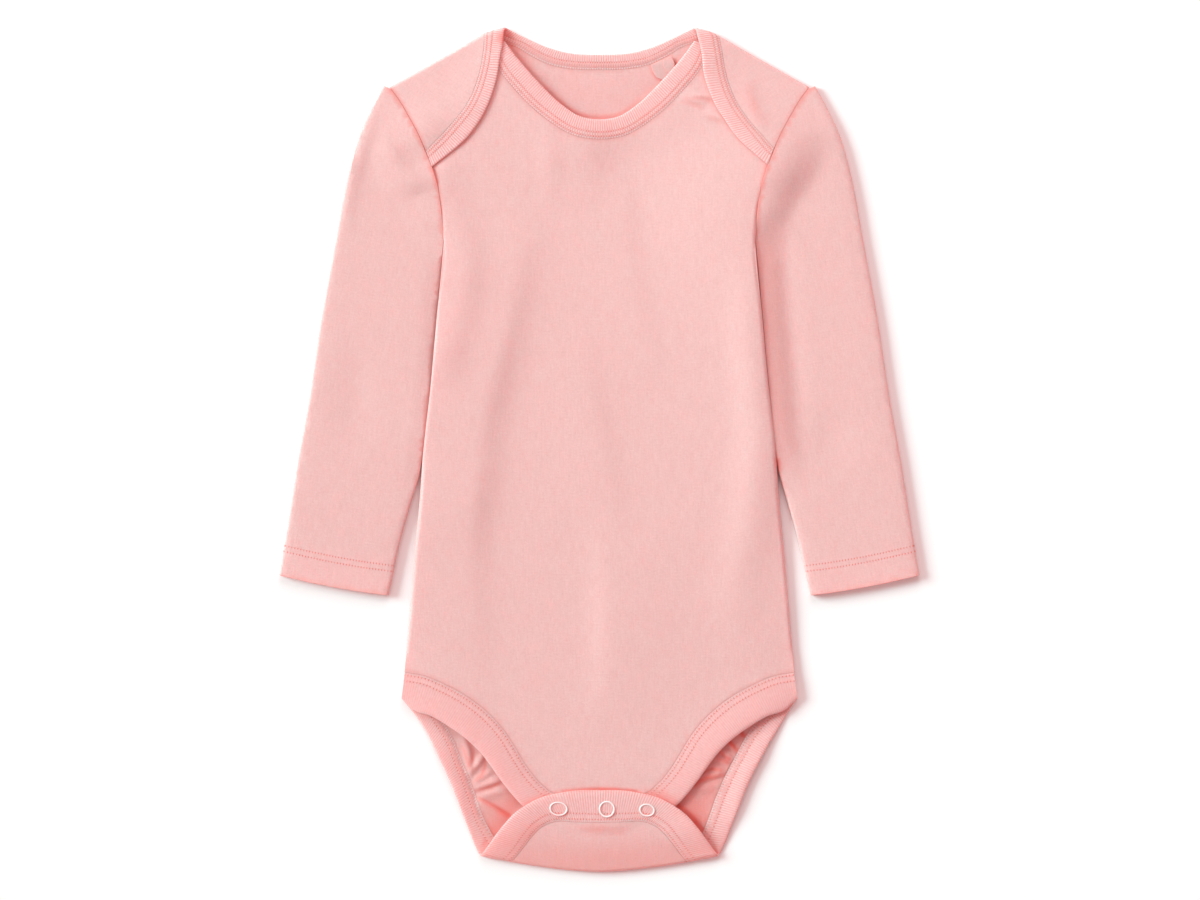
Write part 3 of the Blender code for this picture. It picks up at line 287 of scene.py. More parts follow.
FRONT_FOLDS = [
    Ridge("long fall", 60, 10.5, [
        (-66, -125, 0.2), (-68, -90, 0.9), (-69, -60, 1.3), (-68, -30, 2.5), (-64, -10, 2.2),
        (-63, 10, 2.2), (-59, 30, 2.6), (-54, 50, 2.5), (-49, 70, 1.9), (-44, 95, 1.4),
        (-40, 120, 0.2)]),
    Ridge("left side fall", 20, 10, [
        (-84, 30, 0.0), (-81, 50, 1.8), (-75, 70, 1.5), (-71, 90, 1.7), (-73, 110, 1.4),
        (-80, 130, 1.1), (-85, 150, 1.3), (-88, 168, 0.8)]),
    Ridge("right chest", 42, 30, [
        (80, -70, 0.3), (84, -20, 1.3), (84, 10, 1.9), (82, 45, 2.8), (80, 85, 4.2),
        (81, 110, 5.0), (84, 130, 5.2), (87, 148, 4.8), (90, 165, 3.2), (96, 182, 1.4)]),
    Ridge("right side", 11, 14, [
        (71, -100, 0.2), (72, -75, 0.9), (77, -50, 1.6), (80, -30, 2.1), (82, -10, 2.4),
        (84, 10, 2.6), (82, 30, 2.7), (80, 50, 2.5), (79, 70, 2.0), (79, 92, 0.8), (80, 110, 0.0)]),
    Ridge("under the left lap", 8, 8, [(-92, 149, -1.5), (-84, 157, -1.4), (-75, 167, -0.3)]),
    *both_sides("leg corner", 14, [(102, -98, -0.4), (104, -118, -1.4), (105, -132, -1.4)]),
    Ridge("chest dip", 20, 20, [(22, 90, 0.0), (18, 120, -0.6), (15, 150, -1.2)]),
    Ridge("breast line", 18, 6.5, [
        (26, 30, 0.0), (25, 50, 0.4), (21, 70, 0.5), (16, 90, 0.6), (13, 110, 0.7), (12, 130, 0.5),
        (8, 145, 0.0)]),
    Ridge("middle line", 22, 6.5, [
        (12, -48, 0.0), (8, -30, 0.45), (3, -10, 0.75), (-1, 10, 0.7), (-5, 30, 0.6),
        (-8, 50, 0.35), (-12, 70, 0.0)]),
    Ridge("lower ridge", 9, 34, [
        (0, -150, 0.0), (4, -125, 0.9), (6, -105, 1.3), (6, -88, 1.5), (5, -70, 1.2),
        (3, -50, 0.7), (0, -32, 0.0)]),
    Ridge("below the neck", 14, 9, [
        (-4, 125, 0.0), (-6, 140, 0.5), (-6, 155, 0.75), (-8, 170, 0.5)]),
    Ridge("small upright", 7, 6, [(-24, 128, 0.0), (-26, 150, 0.8), (-27, 168, 0.4)])]

FRONT_CREASES = [                       # where the right lap drags on the front
    Ridge("cross crease 1", 2.2, 1.5, [
        (42, 185.4, 0.0), (47, 182.6, 0.5), (52, 180.8, 0.4), (57, 180.2, 0.0)]),
    Ridge("cross crease 2", 1.6, 1.1, [
        (45, 185, 0.0), (51, 184.6, 0.35), (58.5, 183.8, 0.35), (61, 183.4, 0.0)]),
    Ridge("cross crease 3", 2.4, 1.4, [
        (53, 175, 0.0), (58, 174.2, 0.45), (63, 172.8, 0.35), (67, 172.4, 0.0)])]

LAP_CREASES = [
    Ridge("right lap", 4.5, 2.6, [
        (74, 198, 0.0), (76, 190, 0.5), (79.2, 178.4, 0.7), (84, 170.5, 0.5), (88, 164, 0.0)])]

FLAP_CREASES = [
    Ridge("under the band", 3.6, 1.8, [
        (-18, -194.8, 0.0), (-8, -196, 0.5), (10, -196.6, 0.6), (20, -195.6, 0.0)])]

BACK_EDGE = [                           # right half: the elastic leg edge curls up
    Ridge("leg edge", 9, 9, [
        (96, -140, 0.0), (91, -150, 0.8), (86, -160, 1.8), (81, -171, 2.4), (77, -182, 2.4),
        (73, -192, 1.6), (69, -200, 0.5), (66, -206, 0.0)])]

SLEEVE_LEFT = Sleeve("left", -1, 0.2, 30.0, [
    Ridge("beside the body", 9, 9, [
        (-95, -24, 0.0), (-92, -6, 0.1), (-90, 12, 0.6), (-88, 28, 0.2), (-86.5, 45, -0.1),
        (-82, 100, 0.0)]),
    Ridge("cap fold", 11, 3.8, [
        (-92, 134, 0.0), (-97, 139.5, 0.8), (-103.5, 147, 1.5), (-108.5, 154, 1.5),
        (-113, 163, 0.8), (-116, 171, 0.0)]),
    Ridge("outer rim", 3, 4.5, [
        (-132, 108, 0.0), (-131.5, 128, 0.8), (-129.5, 141, 1.2), (-127, 150, 1.4),
        (-124.5, 158, 1.4), (-120.5, 170, 1.0), (-116, 180, 0.0)]),
    Ridge("elbow dip", 10, 10, [(-130, -5, 0.0), (-126, 30, -0.7), (-128, 60, 0.0)])])

SLEEVE_RIGHT = Sleeve("right", 1, 0.3, 28.0, [
    Ridge("beside the body", 16, 16, [
        (88, -26, 0.0), (86, -12, 1.6), (84, 0, 3.4), (80, 34, 4.4), (76.5, 72, 4.6),
        (73.5, 107, 4.6)]),
    Ridge("beyond that", 6, 6, [
        (108, -22, 0.0), (105, 0, -0.6), (101.5, 34, -1.0), (98, 72, -1.0), (95.5, 105, -1.0)]),
    Ridge("elbow dip", 10, 10, [(122, -20, 0.0), (120, 8, -0.7), (118, 25, 0.0)])])

GATHERS_LEFT = [                        # pleats that the elastic draws into the back, from the seam
    Ridge("pleat 1", 2.2, 1.5, [
        (-68.6, -171, 0.0), (-67.8, -166, 0.8), (-68.3, -159, 1.2), (-70.4, -152, 0.5),
        (-72, -148.5, 0.0)]),
    Ridge("pleat 2", 1.8, 1.5, [
        (-68, -171.5, 0.0), (-66.2, -167, 0.9), (-63.2, -163.5, 1.3), (-60.6, -159, 0.6),
        (-59.5, -156, 0.0)]),
    Ridge("pleat 3", 1.5, 1.6, [
        (-66.5, -174.5, 0.0), (-64.3, -172.8, 0.8), (-61, -170.9, 1.2), (-57.6, -168.8, 0.6),
        (-55, -167, 0.0)]),
    Ridge("pleat 4", 2.2, 1.4, [
        (-66, -177.5, 0.0), (-63.5, -176.3, 0.7), (-57.6, -174.3, 1.3), (-51.7, -172.2, 0.7),
        (-49, -171, 0.0)]),
    Ridge("pleat 5", 1.8, 2.6, [
        (-65, -181.5, 0.0), (-62.5, -181, 0.6), (-57.6, -179.9, 1.0), (-49.1, -177.3, 0.4),
        (-46, -176, 0.0)]),
    Ridge("pleat 6", 1.4, 3.5, [
        (-64.5, -182.2, 0.0), (-62.8, -183.3, 0.8), (-55.1, -187.6, 1.2), (-47, -192.7, 0.7),
        (-44, -194.5, 0.0)])]

GATHERS_RIGHT = [
    Ridge("pleat 1", 1.3, 1.6, [
        (65.5, -150.5, 0.0), (67.2, -153.1, 1.1), (69.3, -156.2, 1.0), (70.8, -158.5, 0.0)]),
    Ridge("pleat 2", 1.5, 1.6, [
        (61.5, -155.5, 0.0), (63.5, -157.2, 0.8), (67.7, -160.7, 1.1), (69.6, -163.4, 0.0)]),
    Ridge("pleat 3", 1.5, 1.6, [
        (57.5, -159.5, 0.0), (60.1, -160.7, 0.8), (64.3, -162.8, 1.1), (68.2, -166, 0.0)]),
    Ridge("pleat 4", 1.6, 1.6, [
        (54.5, -163.8, 0.0), (57.5, -164.9, 0.7), (62.6, -167.1, 1.0), (66.8, -168.4, 0.0)]),
    Ridge("pleat 5", 2.5, 1.3, [
        (49.5, -174.2, 0.0), (51.5, -172.8, 0.8), (57.5, -170.9, 1.3), (63.9, -169.4, 1.0),
        (66, -169.2, 0.0)]),
    Ridge("pleat 6", 2.5, 3.0, [
        (49, -178.2, 0.0), (52, -177.3, 0.5), (58.4, -175.6, 0.8), (63.5, -174.5, 0.4),
        (65, -174, 0.0)])]
GATHER_REACH = 3.6                      # how far a pleat needs closely set points
print(len(FRONT_FOLDS), "folds on the front,", len(GATHERS_LEFT), "and", len(GATHERS_RIGHT),
      "pleats in the leg openings")

# %% [markdown]
# ## Painted shade
# Where shade falls and light comes only through cloth, as in a sharp crease, a corner or the groove
# of a seam, the pink is deeper and redder. A renderer shows too little of that in thin cloth, so
# these tables paint it: they say where each piece takes painted shade, a darker pink. They are read
# like the folds, with a share of the painted shade as the third number of a point.

# %% Painted shade
SHADE_IN_LEFT_LEG = [
    Ridge("crease a", 1.1, 1.1, [
        (-69.6, -151, 0.2), (-65.9, -156.4, 0.5), (-65.9, -159.8, 0.5), (-67, -164.9, 0.2)]),
    Ridge("crease b", 1.1, 1.1, [(-72.1, -153, 0.1), (-69.6, -159.8, 0.4), (-67.9, -165, 0.3)]),
    Ridge("crease c", 1.0, 1.0, [
        (-60.2, -160.3, 0.3), (-58.7, -161.7, 0.6), (-60.6, -164.9, 0.5), (-60, -168, 0.6),
        (-64.9, -172.6, 0.3)]),
    Ridge("crease d", 0.9, 1.4, [
        (-64.9, -177.9, 0.3), (-60.2, -176.9, 0.5), (-55.1, -175.2, 0.6), (-50, -173, 0.2)]),
    Ridge("crease e", 1.0, 1.8, [
        (-62.3, -182, 0.4), (-57.6, -184.2, 0.5), (-53.3, -186.7, 0.5), (-47.4, -190.6, 0.6)]),
    Ridge("corner", 1.7, 1.7, [(-57.2, -202.2, 1.0), (-58, -204.6, 0.9)])]

SHADE_IN_RIGHT_LEG = [
    Ridge("corner 1", 1.3, 1.3, [(75.1, -149.3, 0.7), (73.9, -147.5, 0.9)]),
    Ridge("corner 2", 1.1, 1.1, [(67.7, -152.4, 0.9), (69.5, -154.3, 0.9), (72, -157.4, 0.4)]),
    Ridge("crease a", 1.1, 1.1, [(62.1, -157.4, 0.3), (67.7, -161.7, 0.5)]),
    Ridge("crease b", 1.0, 1.0, [(61.5, -161, 0.3), (67.1, -163.5, 0.4)]),
    Ridge("crease c", 1.0, 1.0, [(54.7, -168.5, 0.4), (59.6, -166.6, 0.5), (63.4, -167.3, 0.3)]),
    Ridge("crease d", 1.0, 1.6, [
        (49.7, -174.7, 0.7), (54.7, -171.6, 0.7), (59.6, -170.1, 0.4), (64.6, -169.7, 0.2)]),
    Ridge("beside the flap", 1.6, 1.6, [(39.8, -184.6, 0.7), (48, -192, 0.7), (56.5, -202.5, 0.7)])]

SHADE_IN_THE_NECK = [
    Ridge("under the neck edge", 1.8, 1.8, [
        (-28, 187.5, 0.25), (-14, 176, 0.35), (0, 172.8, 0.45), (10, 174.2, 0.35),
        (20, 180.8, 0.15)]),
    Ridge("round the tape", 0.9, 0.9, [
        (26.4, 200.4, 0.2), (27.4, 196.8, 0.35), (29.2, 193.9, 0.35), (34.4, 191.6, 0.4)]),
    Ridge("beside the tape", 1.4, 1.4, [(39.6, 201.2, 0.9), (39.3, 200, 0.9)]),
    Ridge("below the tape", 1.3, 1.3, [(34.6, 191.8, 0.7), (33.4, 192.2, 0.7)])]

SHADE_IN_THE_ARMHOLE = [                      # left and right, above the underarm
    Ridge("armhole", 0.9, 0.9, [(side * p.x, p.y, share * (p.y > 120.0)) for p in ARMHOLE])
    for side, share in ((-1, 0.45), (1, 0.35))]

# Painted shade for each piece, by its name: a darker, redder pink in creases, corners, seam grooves
# and openings.
PAINTED_SHADE_PLACES = {
    "sleeve_left_cloth": [
        Ridge("beside the body", 0.8, 0.8, [
            (-81, 104, 0.1), (-84.5, 72, 0.2), (-88, 34, 0.2), (-92, -2, 0.3), (-93.5, -12, 0.0)])]
        + SHADE_IN_THE_ARMHOLE,
    "sleeve_right_cloth": [
        Ridge("beside the body", 12, 1, [
            (82, 120, 0.0), (82, 106, 0.2), (84.5, 72, 0.2), (88, 34, 0.2), (92, -2, 0.12),
            (94, -16, 0.0)]),
        Ridge("fork", 1.4, 1.4, [(92.4, -6, 0.7), (93.2, -9.5, 0.7)])]
        + SHADE_IN_THE_ARMHOLE,
    "back_cloth": [
        Ridge("crotch fold", 14, 14, [(-60, -214, 0.30), (0, -217, 0.33), (60, -214, 0.30)]),
        Ridge("fold under the band", 3, 1.5, [
            (-16, -197.5, 0.0), (-8, -198, 0.2), (10, -198.6, 0.25), (18, -198, 0.0)]),
        Ridge("in the left leg", 10, 10, [(-78, -150, 0.15), (-64, -170, 0.18), (-58, -190, 0.18)]),
        Ridge("beside the flap", 3, 9, [
            (-40, -180, 0.65), (-46, -188, 0.55), (-52, -196, 0.45), (-57, -204, 0.6)]),
        Ridge("in the right leg", 10, 10, [
            (84, -143, 0.2), (72, -152, 0.35), (62, -168, 0.4), (54, -186, 0.5)]),
        Ridge("right wedge", 7, 3, [(38, -180, 0.3), (46, -189, 0.3), (57, -204, 0.3)]),
        Ridge("in the neck", 14, 14, [(-35, 192, 0.1), (0, 184, 0.1), (35, 192, 0.1)]),
        Ridge("left corner", 5, 5, [(-46, 211, 0.5), (-40, 204, 0.25), (-34, 198, 0.0)]),
        Ridge("lap crease", 3, 3, [
            (75.5, 192, 0.0), (77.3, 187, 0.16), (81.1, 176.4, 0.2), (85.7, 169, 0.1),
            (88, 164, 0.0)])]
        + SHADE_IN_LEFT_LEG + SHADE_IN_RIGHT_LEG + SHADE_IN_THE_NECK + SHADE_IN_THE_ARMHOLE,
    "front_cloth": [
        Ridge("above the flap", 1.0, 4, [(-19, -178.2, 0.5), (0, -176.9, 0.8), (19, -178.2, 0.8)]),
        Ridge("cross crease 1", 1.4, 2.0, [
            (43, 183.2, 0.0), (47, 181, 0.25), (52, 179, 0.15), (56, 178.6, 0.0)]),
        Ridge("cross crease 2", 1.1, 1.4, [
            (46, 183.4, 0.0), (51, 183, 0.22), (58.5, 182.2, 0.2), (60, 182, 0.0)]),
        Ridge("cross crease 3", 1.3, 1.6, [
            (54, 173.4, 0.0), (58, 172.6, 0.2), (63, 171.2, 0.15), (66, 171, 0.0)]),
        Ridge("fork", 1.2, 1.2, [(92, -5, 0.5), (92.6, -8.5, 0.5)])]
        + SHADE_IN_THE_ARMHOLE,
    "neck_rib_back": [
        Ridge("left corner", 4, 4, [(-48.5, 214.5, 0.9), (-45, 211, 0.4), (-40, 207, 0.15)])],
    "neck_rib_front": [
        Ridge("left hole", 1.8, 1.8, [(-49.8, 214.6, 0.9), (-49.2, 213.6, 0.6)])],
    "neck_tape_cloth": [
        Ridge("leaves", 6, 6, [(29, 198, 0.12), (38, 198, 0.12)])],
    "leg_rib_front": [
        Ridge("left of the flap", 2.5, 2.5, [
            (-46, -191.5, 0.4), (-38, -185.6, 0.3), (-28, -180.6, 0.3)]),
        Ridge("right of the flap", 3.5, 3.5, [
            (20, -178.5, 0.4), (30, -181, 0.6), (40, -186, 0.45), (46, -191, 0.4)])],
    "leg_rib_back": [
        Ridge("crotch fold", 13, 13, [(-60, -214, 0.25), (0, -217, 0.3), (60, -214, 0.25)]),
        Ridge("flap edge", 0.4, 0.4, [
            (-43, -188.5, 0.2), (-31, -181.5, 0.3), (-17.5, -178.3, 0.4), (0, -177.5, 0.4),
            (17.5, -178.3, 0.3), (31, -181.5, 0.2)]),
        Ridge("left bend", 6, 6, [(-45, -205, 0.1), (-33, -198, 0.25), (-26, -190, 0.1)]),
        Ridge("corner", 1.2, 1.2, [(-59.2, -203.8, 0.5), (-60.2, -206, 0.4)])]}

print("deeper places:", sum(len(ridges) for ridges in PAINTED_SHADE_PLACES.values()))

# %% Snaps and tape
SNAPS = [
    Snap("snap_ring_left", -21.3, -187.2, 9.7, 7.4, 8.0),
    Snap("snap_ring_middle", 3.9, -187.4, 8.5, 8.8, 0.0),
    Snap("snap_ring_right", 24.8, -187.9, 8.4, 6.8, 10.0)]

TAPE_LOWER = [                          # clockwise from its left end in the back neck seam
    Point(27.0, 200.6), Point(34.0, 203.6), Point(34.8, 199.0), Point(37.0, 193.8),
    Point(34.4, 192.2), Point(29.6, 194.4), Point(27.8, 197.4)]
TAPE_UPPER = [
    Point(33.4, 203.2), Point(37.4, 205.0), Point(39.2, 201.2), Point(38.6, 198.0),
    Point(36.6, 195.6), Point(34.6, 197.4), Point(33.4, 200.2)]
print(len(SNAPS), "snaps,", [snap.across for snap in SNAPS], "mm across")

# %% [markdown]
# ## Curves
# A seam is drawn through a few stations. A cubic curve through them gives evenly spaced points. It
# passes through every station, so there are no handles to set, as a Bezier curve would have.

# %% Smooth curves
def smooth_curve(stations, step):
    """Points about `step` mm apart on a smooth curve through rows of numbers."""
    knots = np.array(stations, float)
    lengths = np.linalg.norm(np.diff(knots[:, :2], axis=0), axis=1)
    marks = np.concatenate([[0.0], np.cumsum(lengths)])
    slopes = np.gradient(knots, marks, axis=0)
    at = np.linspace(0.0, marks[-1], max(2, round(marks[-1] / step) + 1))
    i = np.clip(np.searchsorted(marks, at, side="right") - 1, 0, len(lengths) - 1)
    span = lengths[i][:, None]
    u = (at - marks[i])[:, None] / span
    start = (2 * u**3 - 3 * u**2 + 1) * knots[i] + (u**3 - 2 * u**2 + u) * span * slopes[i]
    end = (3 * u**2 - 2 * u**3) * knots[i + 1] + (u**3 - u**2) * span * slopes[i + 1]
    return start + end


def mirrored(stations):
    """The same rows on the left side of the garment: every x changes its sign."""
    rows = np.array(stations, float)
    rows[:, 0::2] *= -1
    return rows


def whole(half):
    """Left half, middle and right half of a table whose first row lies on the middle line."""
    return np.vstack([mirrored(half)[:0:-1], np.array(half, float)])


def directions(line):
    """Which way a line runs at each of its points."""
    tangent = np.gradient(line, axis=0)
    return tangent / np.linalg.norm(tangent, axis=1)[:, None]


def beside(line, distance):
    """A line moved sideways, to the left of its direction where the distance is positive."""
    tangent = directions(line)
    return line + np.column_stack([-tangent[:, 1], tangent[:, 0]]) * np.reshape(distance, (-1, 1))


def ease(value):
    """0 below 0, 1 above 1 and a smooth step between."""
    t = np.clip(value, 0.0, 1.0)
    return t * t * (3.0 - 2.0 * t)


# %% Distances and ridges
def marks_of(path):
    """How far along a polyline each of its points is."""
    sizes = np.linalg.norm(np.diff(path[:, :2], axis=0), axis=1)
    return np.concatenate([[0.0], np.cumsum(sizes)])


def nearest_on(path, xy):
    """For each point: its distance to a polyline, how far along that is, and if it's on the left."""
    starts, runs = path[:-1, :2], np.diff(path[:, :2], axis=0)
    sizes = np.linalg.norm(runs, axis=1)
    from_start = xy[:, None, :] - starts[None]
    share = np.clip((from_start * runs).sum(2) / sizes**2, 0.0, 1.0)
    away = np.linalg.norm(from_start - share[:, :, None] * runs, axis=2)
    best = away.argmin(1)
    rows = np.arange(len(xy))
    offset, run = from_start[rows, best], runs[best]
    on_left = run[:, 0] * offset[:, 1] - run[:, 1] * offset[:, 0] > 0
    return away[rows, best], marks_of(path)[best] + share[rows, best] * sizes[best], on_left


def relief(ridges, xy):
    """Height that a table of ridges and troughs adds at each point."""
    height = np.zeros(len(xy))
    for ridge in ridges:
        path = smooth_curve(ridge.points, PATH_STEP)
        away, along, on_left = nearest_on(path, xy)
        width = np.where(on_left, ridge.left, ridge.right)
        height += np.interp(along, marks_of(path), path[:, 2]) * np.exp(-(away / width) ** 2)
    return height

# %% [markdown]
# ## How the layers lie
# The back lies on the floor, the front on the back, the shoulder laps of the back on the front, and
# the crotch flap on the front's tab. A height function for each layer says where its underside is.
# A simulation could drop the layers on one another, but it might leave them touching. Heights that
# are added up from the floor keep them apart.

# %% Underside of the front
SIDE_LINE = smooth_curve(ARMHOLE[-3:] + SIDE_SEAM[1:] + [FRONT_LEG[0][2:]], LINE_STEP)
SHOULDER_LINE = np.array([SHOULDER_NECK, SHOULDER_ARM])
SIDE_FADE = 14.0            # over which the round of a side seam starts and ends
LIFT_SOFT = 0.04            # how softly a trough ends on the layer below, mm squared


def span_share(value, ends):
    """0 at the first of two ends, 1 at the second and a smooth step between."""
    return ease((value - ends[0]) / (ends[1] - ends[0]))


def folded_over(xy):
    """The same points, all on the right half."""
    return np.column_stack([np.abs(xy[:, 0]), xy[:, 1]])


def edge_share(xy):
    """How much of the front's height is left near the side seams and the shoulder folds."""
    folded, y = folded_over(xy), xy[:, 1]
    at_side = np.clip(1.0 - nearest_on(SIDE_LINE, folded)[0] / SIDE_ROUND, 0.0, 1.0)
    at_side *= ease((ARMHOLE[-3].y - y) / SIDE_FADE) * ease((y - SIDE_SEAM[-1].y) / SIDE_FADE)
    low = SIDE_LOW + SIDE_HELD * span_share(y, BODY_BESIDE)
    rounded = low + (1.0 - low) * np.sqrt(1.0 - at_side**2)
    return rounded * ease(nearest_on(SHOULDER_LINE, folded)[0] / SHOULDER_REACH)


def front_floor(xy):
    """Underside of the front, above the back panel that it lies on."""
    lift = relief(FRONT_EDGES, xy) + (FRONT_LOFT + relief(FRONT_FOLDS, xy)) * edge_share(xy)
    lift += relief(FRONT_CREASES, xy)
    return WALL + GAP + 0.5 * (lift + np.sqrt(lift**2 + LIFT_SOFT))


# %% Laps and flap
NECK_BINDING_X = (66.0, 80.0)   # a lap lies on the front's binding up to here, on cloth from here


def lap_floor(xy):
    """Underside of a shoulder lap: it clears the front, and near the neck the front's binding."""
    over_binding = 1.0 - span_share(np.abs(xy[:, 0]), NECK_BINDING_X)
    own = relief(LAP_CREASES, xy)
    return front_floor(xy) + WALL + GAP + (BINDING - WALL) * over_binding + own


def crotch_bow(x):
    """How far the crotch fold has risen at this x."""
    return CROTCH_RISE * (np.abs(x) / CROTCH_HALF) ** CROTCH_BEND


def flap_floor(xy):
    """Underside of the crotch flap: it climbs from the fold on to the front tab's binding."""
    from_fold = xy[:, 1] - CROTCH_Y - crotch_bow(xy[:, 0])
    over_tab = ease(from_fold / FLAP_CLIMB)
    climb = (front_floor(xy) + BINDING - 2 * WALL - GAP) * over_tab
    return 2 * (WALL + GAP) + climb + relief(FLAP_CREASES, xy)


# %% The back's edges and pleats
PLEATS_Y = (-200.0, -146.0)     # the pleats lie between these
PLEATS_X = 38.0                 # and farther out than this


def edge_curl(xy):
    """How far the elastic lifts the back's leg edges off the floor."""
    return relief(BACK_EDGE, folded_over(xy))


def gather_height(xy):
    """Pleats that the elastic draws into the back, as high as the front leaves them room."""
    height = np.zeros(len(xy))
    x, y = np.abs(xy[:, 0]), xy[:, 1]
    near = np.where((y > PLEATS_Y[0]) & (y < PLEATS_Y[1]) & (x > PLEATS_X))[0]
    if len(near):
        room = front_floor(xy[near]) - WALL - GAP - edge_curl(xy[near])
        height[near] = np.minimum(relief(GATHERS_LEFT + GATHERS_RIGHT, xy[near]), room)
    return height


print("underside of the front in its middle", round(front_floor(np.zeros((1, 2)))[0], 2), "mm")

# %% [markdown]
# The back is one cut piece, and at the shoulders and the crotch it turns over on to the front.
# It is drawn unfolded, as a pattern, and a turn bends the pattern round a line: so the cloth
# goes round the fold in one piece, as it does on the real garment.

# %% Turning the cloth over
class Turn:
    """A line where the back turns over from the under layer on to the top layer.

    It runs from `start` to `end` with the garment on its right. `bow` says how far the line falls
    back inwards along its length, `floor` is the underside of the layer that it turns on to, and
    `holds` says which part of the pattern this turn is for.
    """
    reach = 2.3                         # from the axis of the turn to its outermost line

    def __init__(self, start, end, bow, floor, holds):
        self.start = np.array(start, float)
        run = np.array(end, float) - self.start
        self.length = np.linalg.norm(run)
        self.along = run / self.length
        self.out = np.array([-self.along[1], self.along[0]])
        self.bow = bow
        self.floor = floor
        self.holds = holds

    def split(self, xy):
        """Distance along the line and distance beyond the axis of the turn."""
        offset = xy - self.start
        along = offset @ self.along
        return along, offset @ self.out + self.reach + self.bow(along)

    def join(self, along, beyond):
        """The point with these two distances."""
        out = beyond - self.reach - self.bow(along)
        return self.start + along[:, None] * self.along + out[:, None] * self.out

    def radius(self, along):
        """Radius of the middle of the wall as it turns over."""
        return self.floor(self.join(along, np.zeros(len(along)))) / 2

    def unfold(self, xy):
        """Pattern place of a point that lies on the top layer."""
        along, beyond = self.split(xy)
        return self.join(along, math.pi * self.radius(along) - beyond)

    def place(self, xy, thickness):
        """Where the pattern points beyond the axis lie, once the cloth is turned over."""
        along, beyond = self.split(xy)
        radius = self.radius(along)
        angle = np.minimum(beyond / radius, math.pi)
        past = np.maximum(beyond - math.pi * radius, 0.0)
        flat = self.join(along, radius * np.sin(angle) - past)
        height = thickness / 2 + radius * (1.0 - np.cos(angle))
        top = past > 0
        height[top] = thickness / 2 + self.floor(flat[top])
        return np.column_stack([flat, height])


# %% The three turns
NECK_BOW = 2.9                  # how far the shoulder fold rounds down towards the neck
NECK_BOW_SPAN = (-1.0, 13.0)    # mm past the neck's end of the fold, where that starts and is full
SHOULDER_PART = 120.0           # the shoulder folds are for the pattern above this y
CROTCH_PART = -150.0            # and the crotch fold for what is below this one


def shoulder_bow(beyond_neck):
    """The shoulder fold rounds down over its last millimetres before the neck."""
    return NECK_BOW * span_share(beyond_neck, NECK_BOW_SPAN)


def shoulder_turn(side):
    """The shoulder fold of one side: straight from the sleeve, rounded at the neck."""
    arm, neck = np.array(SHOULDER_ARM) * (side, 1), np.array(SHOULDER_NECK) * (side, 1)
    length = np.linalg.norm(arm - neck)
    start, end = (arm, neck) if side < 0 else (neck, arm)
    from_neck = (lambda along: along - length) if side < 0 else (lambda along: -along)
    return Turn(start, end, lambda along: shoulder_bow(from_neck(along)), lap_floor,
                lambda xy: (side * xy[:, 0] > 0) & (xy[:, 1] > SHOULDER_PART))


TURN_LEFT = shoulder_turn(-1)
TURN_RIGHT = shoulder_turn(1)
TURN_CROTCH = Turn((CROTCH_HALF, CROTCH_Y), (-CROTCH_HALF, CROTCH_Y),
                   lambda along: crotch_bow(along - CROTCH_HALF), flap_floor,
                   lambda xy: xy[:, 1] < CROTCH_PART)
TURNS = (TURN_LEFT, TURN_RIGHT, TURN_CROTCH)
print("lengths of the folds", [round(float(turn.length), 1) for turn in TURNS], "mm")

# %% Where a pattern point goes
def back_surface(thickness):
    """Pattern point to the middle of the back's wall, or of a binding of this thickness."""
    def surface(xy):
        placed = np.column_stack([xy, thickness / 2 + edge_curl(xy) + gather_height(xy)])
        for turn in TURNS:
            beyond = turn.split(xy)[1]
            turned = turn.holds(xy) & (beyond > 0)
            if turned.any():
                placed[turned] = turn.place(xy[turned], thickness)
        return placed
    return surface


def front_surface(thickness):
    """Point of the front, or of a binding of this thickness on it, to the middle of its wall."""
    def surface(xy):
        return np.column_stack([xy, front_floor(xy) + thickness / 2])
    return surface


PROBE = 0.02                # how far apart two points show which way a surface runs


def off_surface(surface, uv, distance):
    """Points at a distance from a surface, measured square to it."""
    along_u = surface(uv + (PROBE, 0)) - surface(uv - (PROBE, 0))
    along_v = surface(uv + (0, PROBE)) - surface(uv - (0, PROBE))
    normal = np.cross(along_u, along_v)
    normal /= np.linalg.norm(normal, axis=1)[:, None]
    return surface(uv) + normal * np.reshape(distance, (-1, 1))

# %% [markdown]
# ## What the cloth looks like
# Interlock shows fine upright wales, little flecks where fibres take the dye differently, and a
# slight unevenness over centimetres. Rib shows a ridge every 1.25 mm across the strip. Both are
# worked out from each piece's own map of millimetres, so the knit follows the cloth round a fold.
# Knit and rib are node groups, because several materials use them.

# %% Helpers for shader nodes
def wire(tree, value, socket):
    """Links an output to a socket, or sets the socket to a number."""
    if isinstance(value, bpy.types.NodeSocket):
        tree.links.new(value, socket)
    else:
        socket.default_value = value


def settings(node, values):
    """Sets a node's sockets by their names."""
    for title, value in values.items():
        node.inputs[title].default_value = value


def calc(tree, operation, first, second=0.0, third=0.0):
    """A Math node on numbers or outputs."""
    made = tree.nodes.new("ShaderNodeMath")
    made.operation = operation
    for value, socket in zip((first, second, third), made.inputs):
        wire(tree, value, socket)
    return made.outputs[0]


def stretched_noise(tree, vector, pitch_u, pitch_v, detail=2.0):
    """Noise whose spots are about pitch_u wide and pitch_v long, in millimetres."""
    mapping = tree.nodes.new("ShaderNodeMapping")
    settings(mapping, {"Scale": (1 / pitch_u, 1 / pitch_v, 1.0)})
    wire(tree, vector, mapping.inputs["Vector"])
    noise = tree.nodes.new("ShaderNodeTexNoise")
    settings(noise, {"Scale": 1.0, "Detail": detail})
    wire(tree, mapping.outputs["Vector"], noise.inputs["Vector"])
    return noise.outputs[0]


